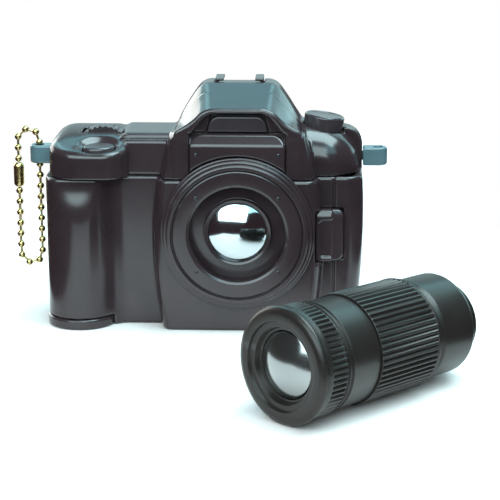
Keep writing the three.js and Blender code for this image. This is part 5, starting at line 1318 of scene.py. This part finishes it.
def ball_chain():
    span = FREE_CHAIN - 2 * BEAD_R
    beads = round(span / BEAD_PITCH)
    points = []
    faces = []
    places = [np.array(chain_point(BEAD_R + span * i / beads)) for i in range(beads + 1)]
    for i, place in enumerate(places):
        ahead = places[min(i + 1, beads)] - places[max(i - 1, 0)]
        ahead = ahead / np.linalg.norm(ahead)
        across = np.cross(ahead, BACKWARD)
        rings = []
        for j in range(BEAD_RINGS + 1):
            t = math.pi * (BEAD_CUT + (1 - 2 * BEAD_CUT) * j / BEAD_RINGS)
            centre = place - BEAD_R * math.cos(t) * ahead
            rings.append(hoop(centre, across, BEAD_R * math.sin(t), BEAD_SIDES))
        tube(points, faces, rings)
    for p, q in zip(places, places[1:]):
        ahead = (q - p) / np.linalg.norm(q - p)
        across = np.cross(ahead, BACKWARD)
        ends = (p + ahead * BEAD_R * WIRE_START, q - ahead * BEAD_R * WIRE_START)
        tube(points, faces, [hoop(end, across, WIRE_R, WIRE_SIDES) for end in ends])
    return make("bead_chain", np.array(points), faces, SHARP_CHAIN)


chain = finish_piece(ball_chain(), BRASS, "ball_chain")
half = COUPLING_LONG / 2
coupling = turned("bead_coupling", [
    (0.0, -half), (1.1, -half), (1.5, -half + 0.4), (1.75, -half + 1.0), (1.75, half - 1.0),
    (1.5, half - 0.4), (1.1, half), (0.0, half),
], (OUTER_X, LUG_Y, (COUPLING_TOP + COUPLING_LOW) / 2), (0, 0, 1), segments=32)
finish_piece(coupling, BRASS, "chain_coupling")
for i in range(ROUTE_STEPS + 1):
    tuple(c * MM for c in chain_point(FREE_CHAIN * i / ROUTE_STEPS))

# Hidden steel pieces keep their solids
for name in ("command_axle", "dial_clip"):
    nodes[name].data.materials.clear()
    nodes[name].data.materials.append(steel)

# Floor, light and room, in metres
FLOOR_X = (-0.092, 0.1)
FLOOR_Y = (-0.17, 0.35)
ROOM_DARK = (0.045, 0.028, 0.032, 1.0)
PAPER_WHITE = (1.0, 1.0, 1.0, 1.0)


def make_floor():
    (x0, x1), (y0, y1) = FLOOR_X, FLOOR_Y
    mesh = bpy.data.meshes.new("floor")
    mesh.from_pydata([(x0, y0, 0), (x1, y0, 0), (x1, y1, 0), (x0, y1, 0)], [], [(0, 1, 2, 3)])
    mesh.materials.append(floor_white)
    piece = bpy.data.objects.new("floor", mesh)
    scene.collection.objects.link(piece)


def area(name, place, target, wide, tall, power, colour, mirrored=True):
    data = bpy.data.lights.new(name, "AREA")
    data.shape = "RECTANGLE"
    data.size = wide
    data.size_y = tall
    data.energy = power
    data.color = colour
    lamp = bpy.data.objects.new(name, data)
    lamp.location = place
    aim = Vector(target) - Vector(place)
    lamp.rotation_euler = aim.to_track_quat("-Z", "Y").to_euler()
    lamp.visible_camera = False
    lamp.visible_glossy = mirrored
    scene.collection.objects.link(lamp)


# A dark room that the camera sees as white paper
def make_world():
    world = bpy.data.worlds.new("room")
    world.use_nodes = True
    tree = world.node_tree
    dark = tree.nodes["Background"]
    put(dark, {"Color": ROOM_DARK})
    paper = tree.nodes.new("ShaderNodeBackground")
    put(paper, {"Color": PAPER_WHITE})
    path = tree.nodes.new("ShaderNodeLightPath")
    mix = tree.nodes.new("ShaderNodeMixShader")
    tree.links.new(path.outputs["Is Camera Ray"], mix.inputs["Fac"])
    tree.links.new(dark.outputs["Background"], mix.inputs[1])
    tree.links.new(paper.outputs["Background"], mix.inputs[2])
    tree.links.new(mix.outputs["Shader"], tree.nodes["World Output"].inputs["Surface"])
    scene.world = world


make_floor()
area("front_top", (-0.25, -1.05, 0.76), (0, 0, 0.04), 1.5, 0.92, 27.0, (0.76, 1.0, 1.04))
area("back_top", (0.0, 1.2, 1.6), (0, 0, 0.05), 1.6, 1.0, 11.5, (0.36, 0.93, 1.05))
area("top_right", (0.62, -0.1, 1.85), (0, 0, 0.05), 1.3, 1.4, 72.0, (0.7, 1.0, 1.05))
area("front_right", (0.86, -1.0, 1.3), (0, 0, 0.05), 0.95, 0.85, 7.0, (0.42, 0.95, 1.05))
area("high_right", (1.1, 1.4, 1.33), (0, 0, 0.05), 0.9, 1.5, 10.0, (0.5, 0.98, 1.05))
area("high_left", (-0.95, 1.4, 1.4), (0, 0, 0.05), 0.7, 1.2, 6.3, (0.5, 0.98, 1.05))
area("left_back", (-1.7, 1.9, 0.6), (0, 0, 0.1), 1.8, 1.3, 36.0, (0.97, 1.0, 0.95))
area("right_back", (1.7, 1.9, 0.45), (0, 0, 0.1), 1.4, 0.8, 8.0, (0.56, 1.0, 1.04))
area("back_low", (0.0, 2.6, 0.8), (0, 0, 0.3), 3.6, 1.5, 14.5, (0.68, 1.0, 1.03))
area("side_left", (-1.9, -0.3, 1.5), (0, 0, 0), 2.4, 2.4, 14.0, (1.0, 0.96, 0.95), False)
area("side_right", (1.9, -0.3, 1.5), (0, 0, 0), 2.4, 2.4, 12.0, (1.0, 0.92, 0.9), False)
area("sky", (0.0, 0.0, 2.5), (0, 0, 0), 3.0, 3.0, 3.0, (1.0, 0.88, 0.85), False)
make_world()
scene.view_settings.view_transform = "Standard"
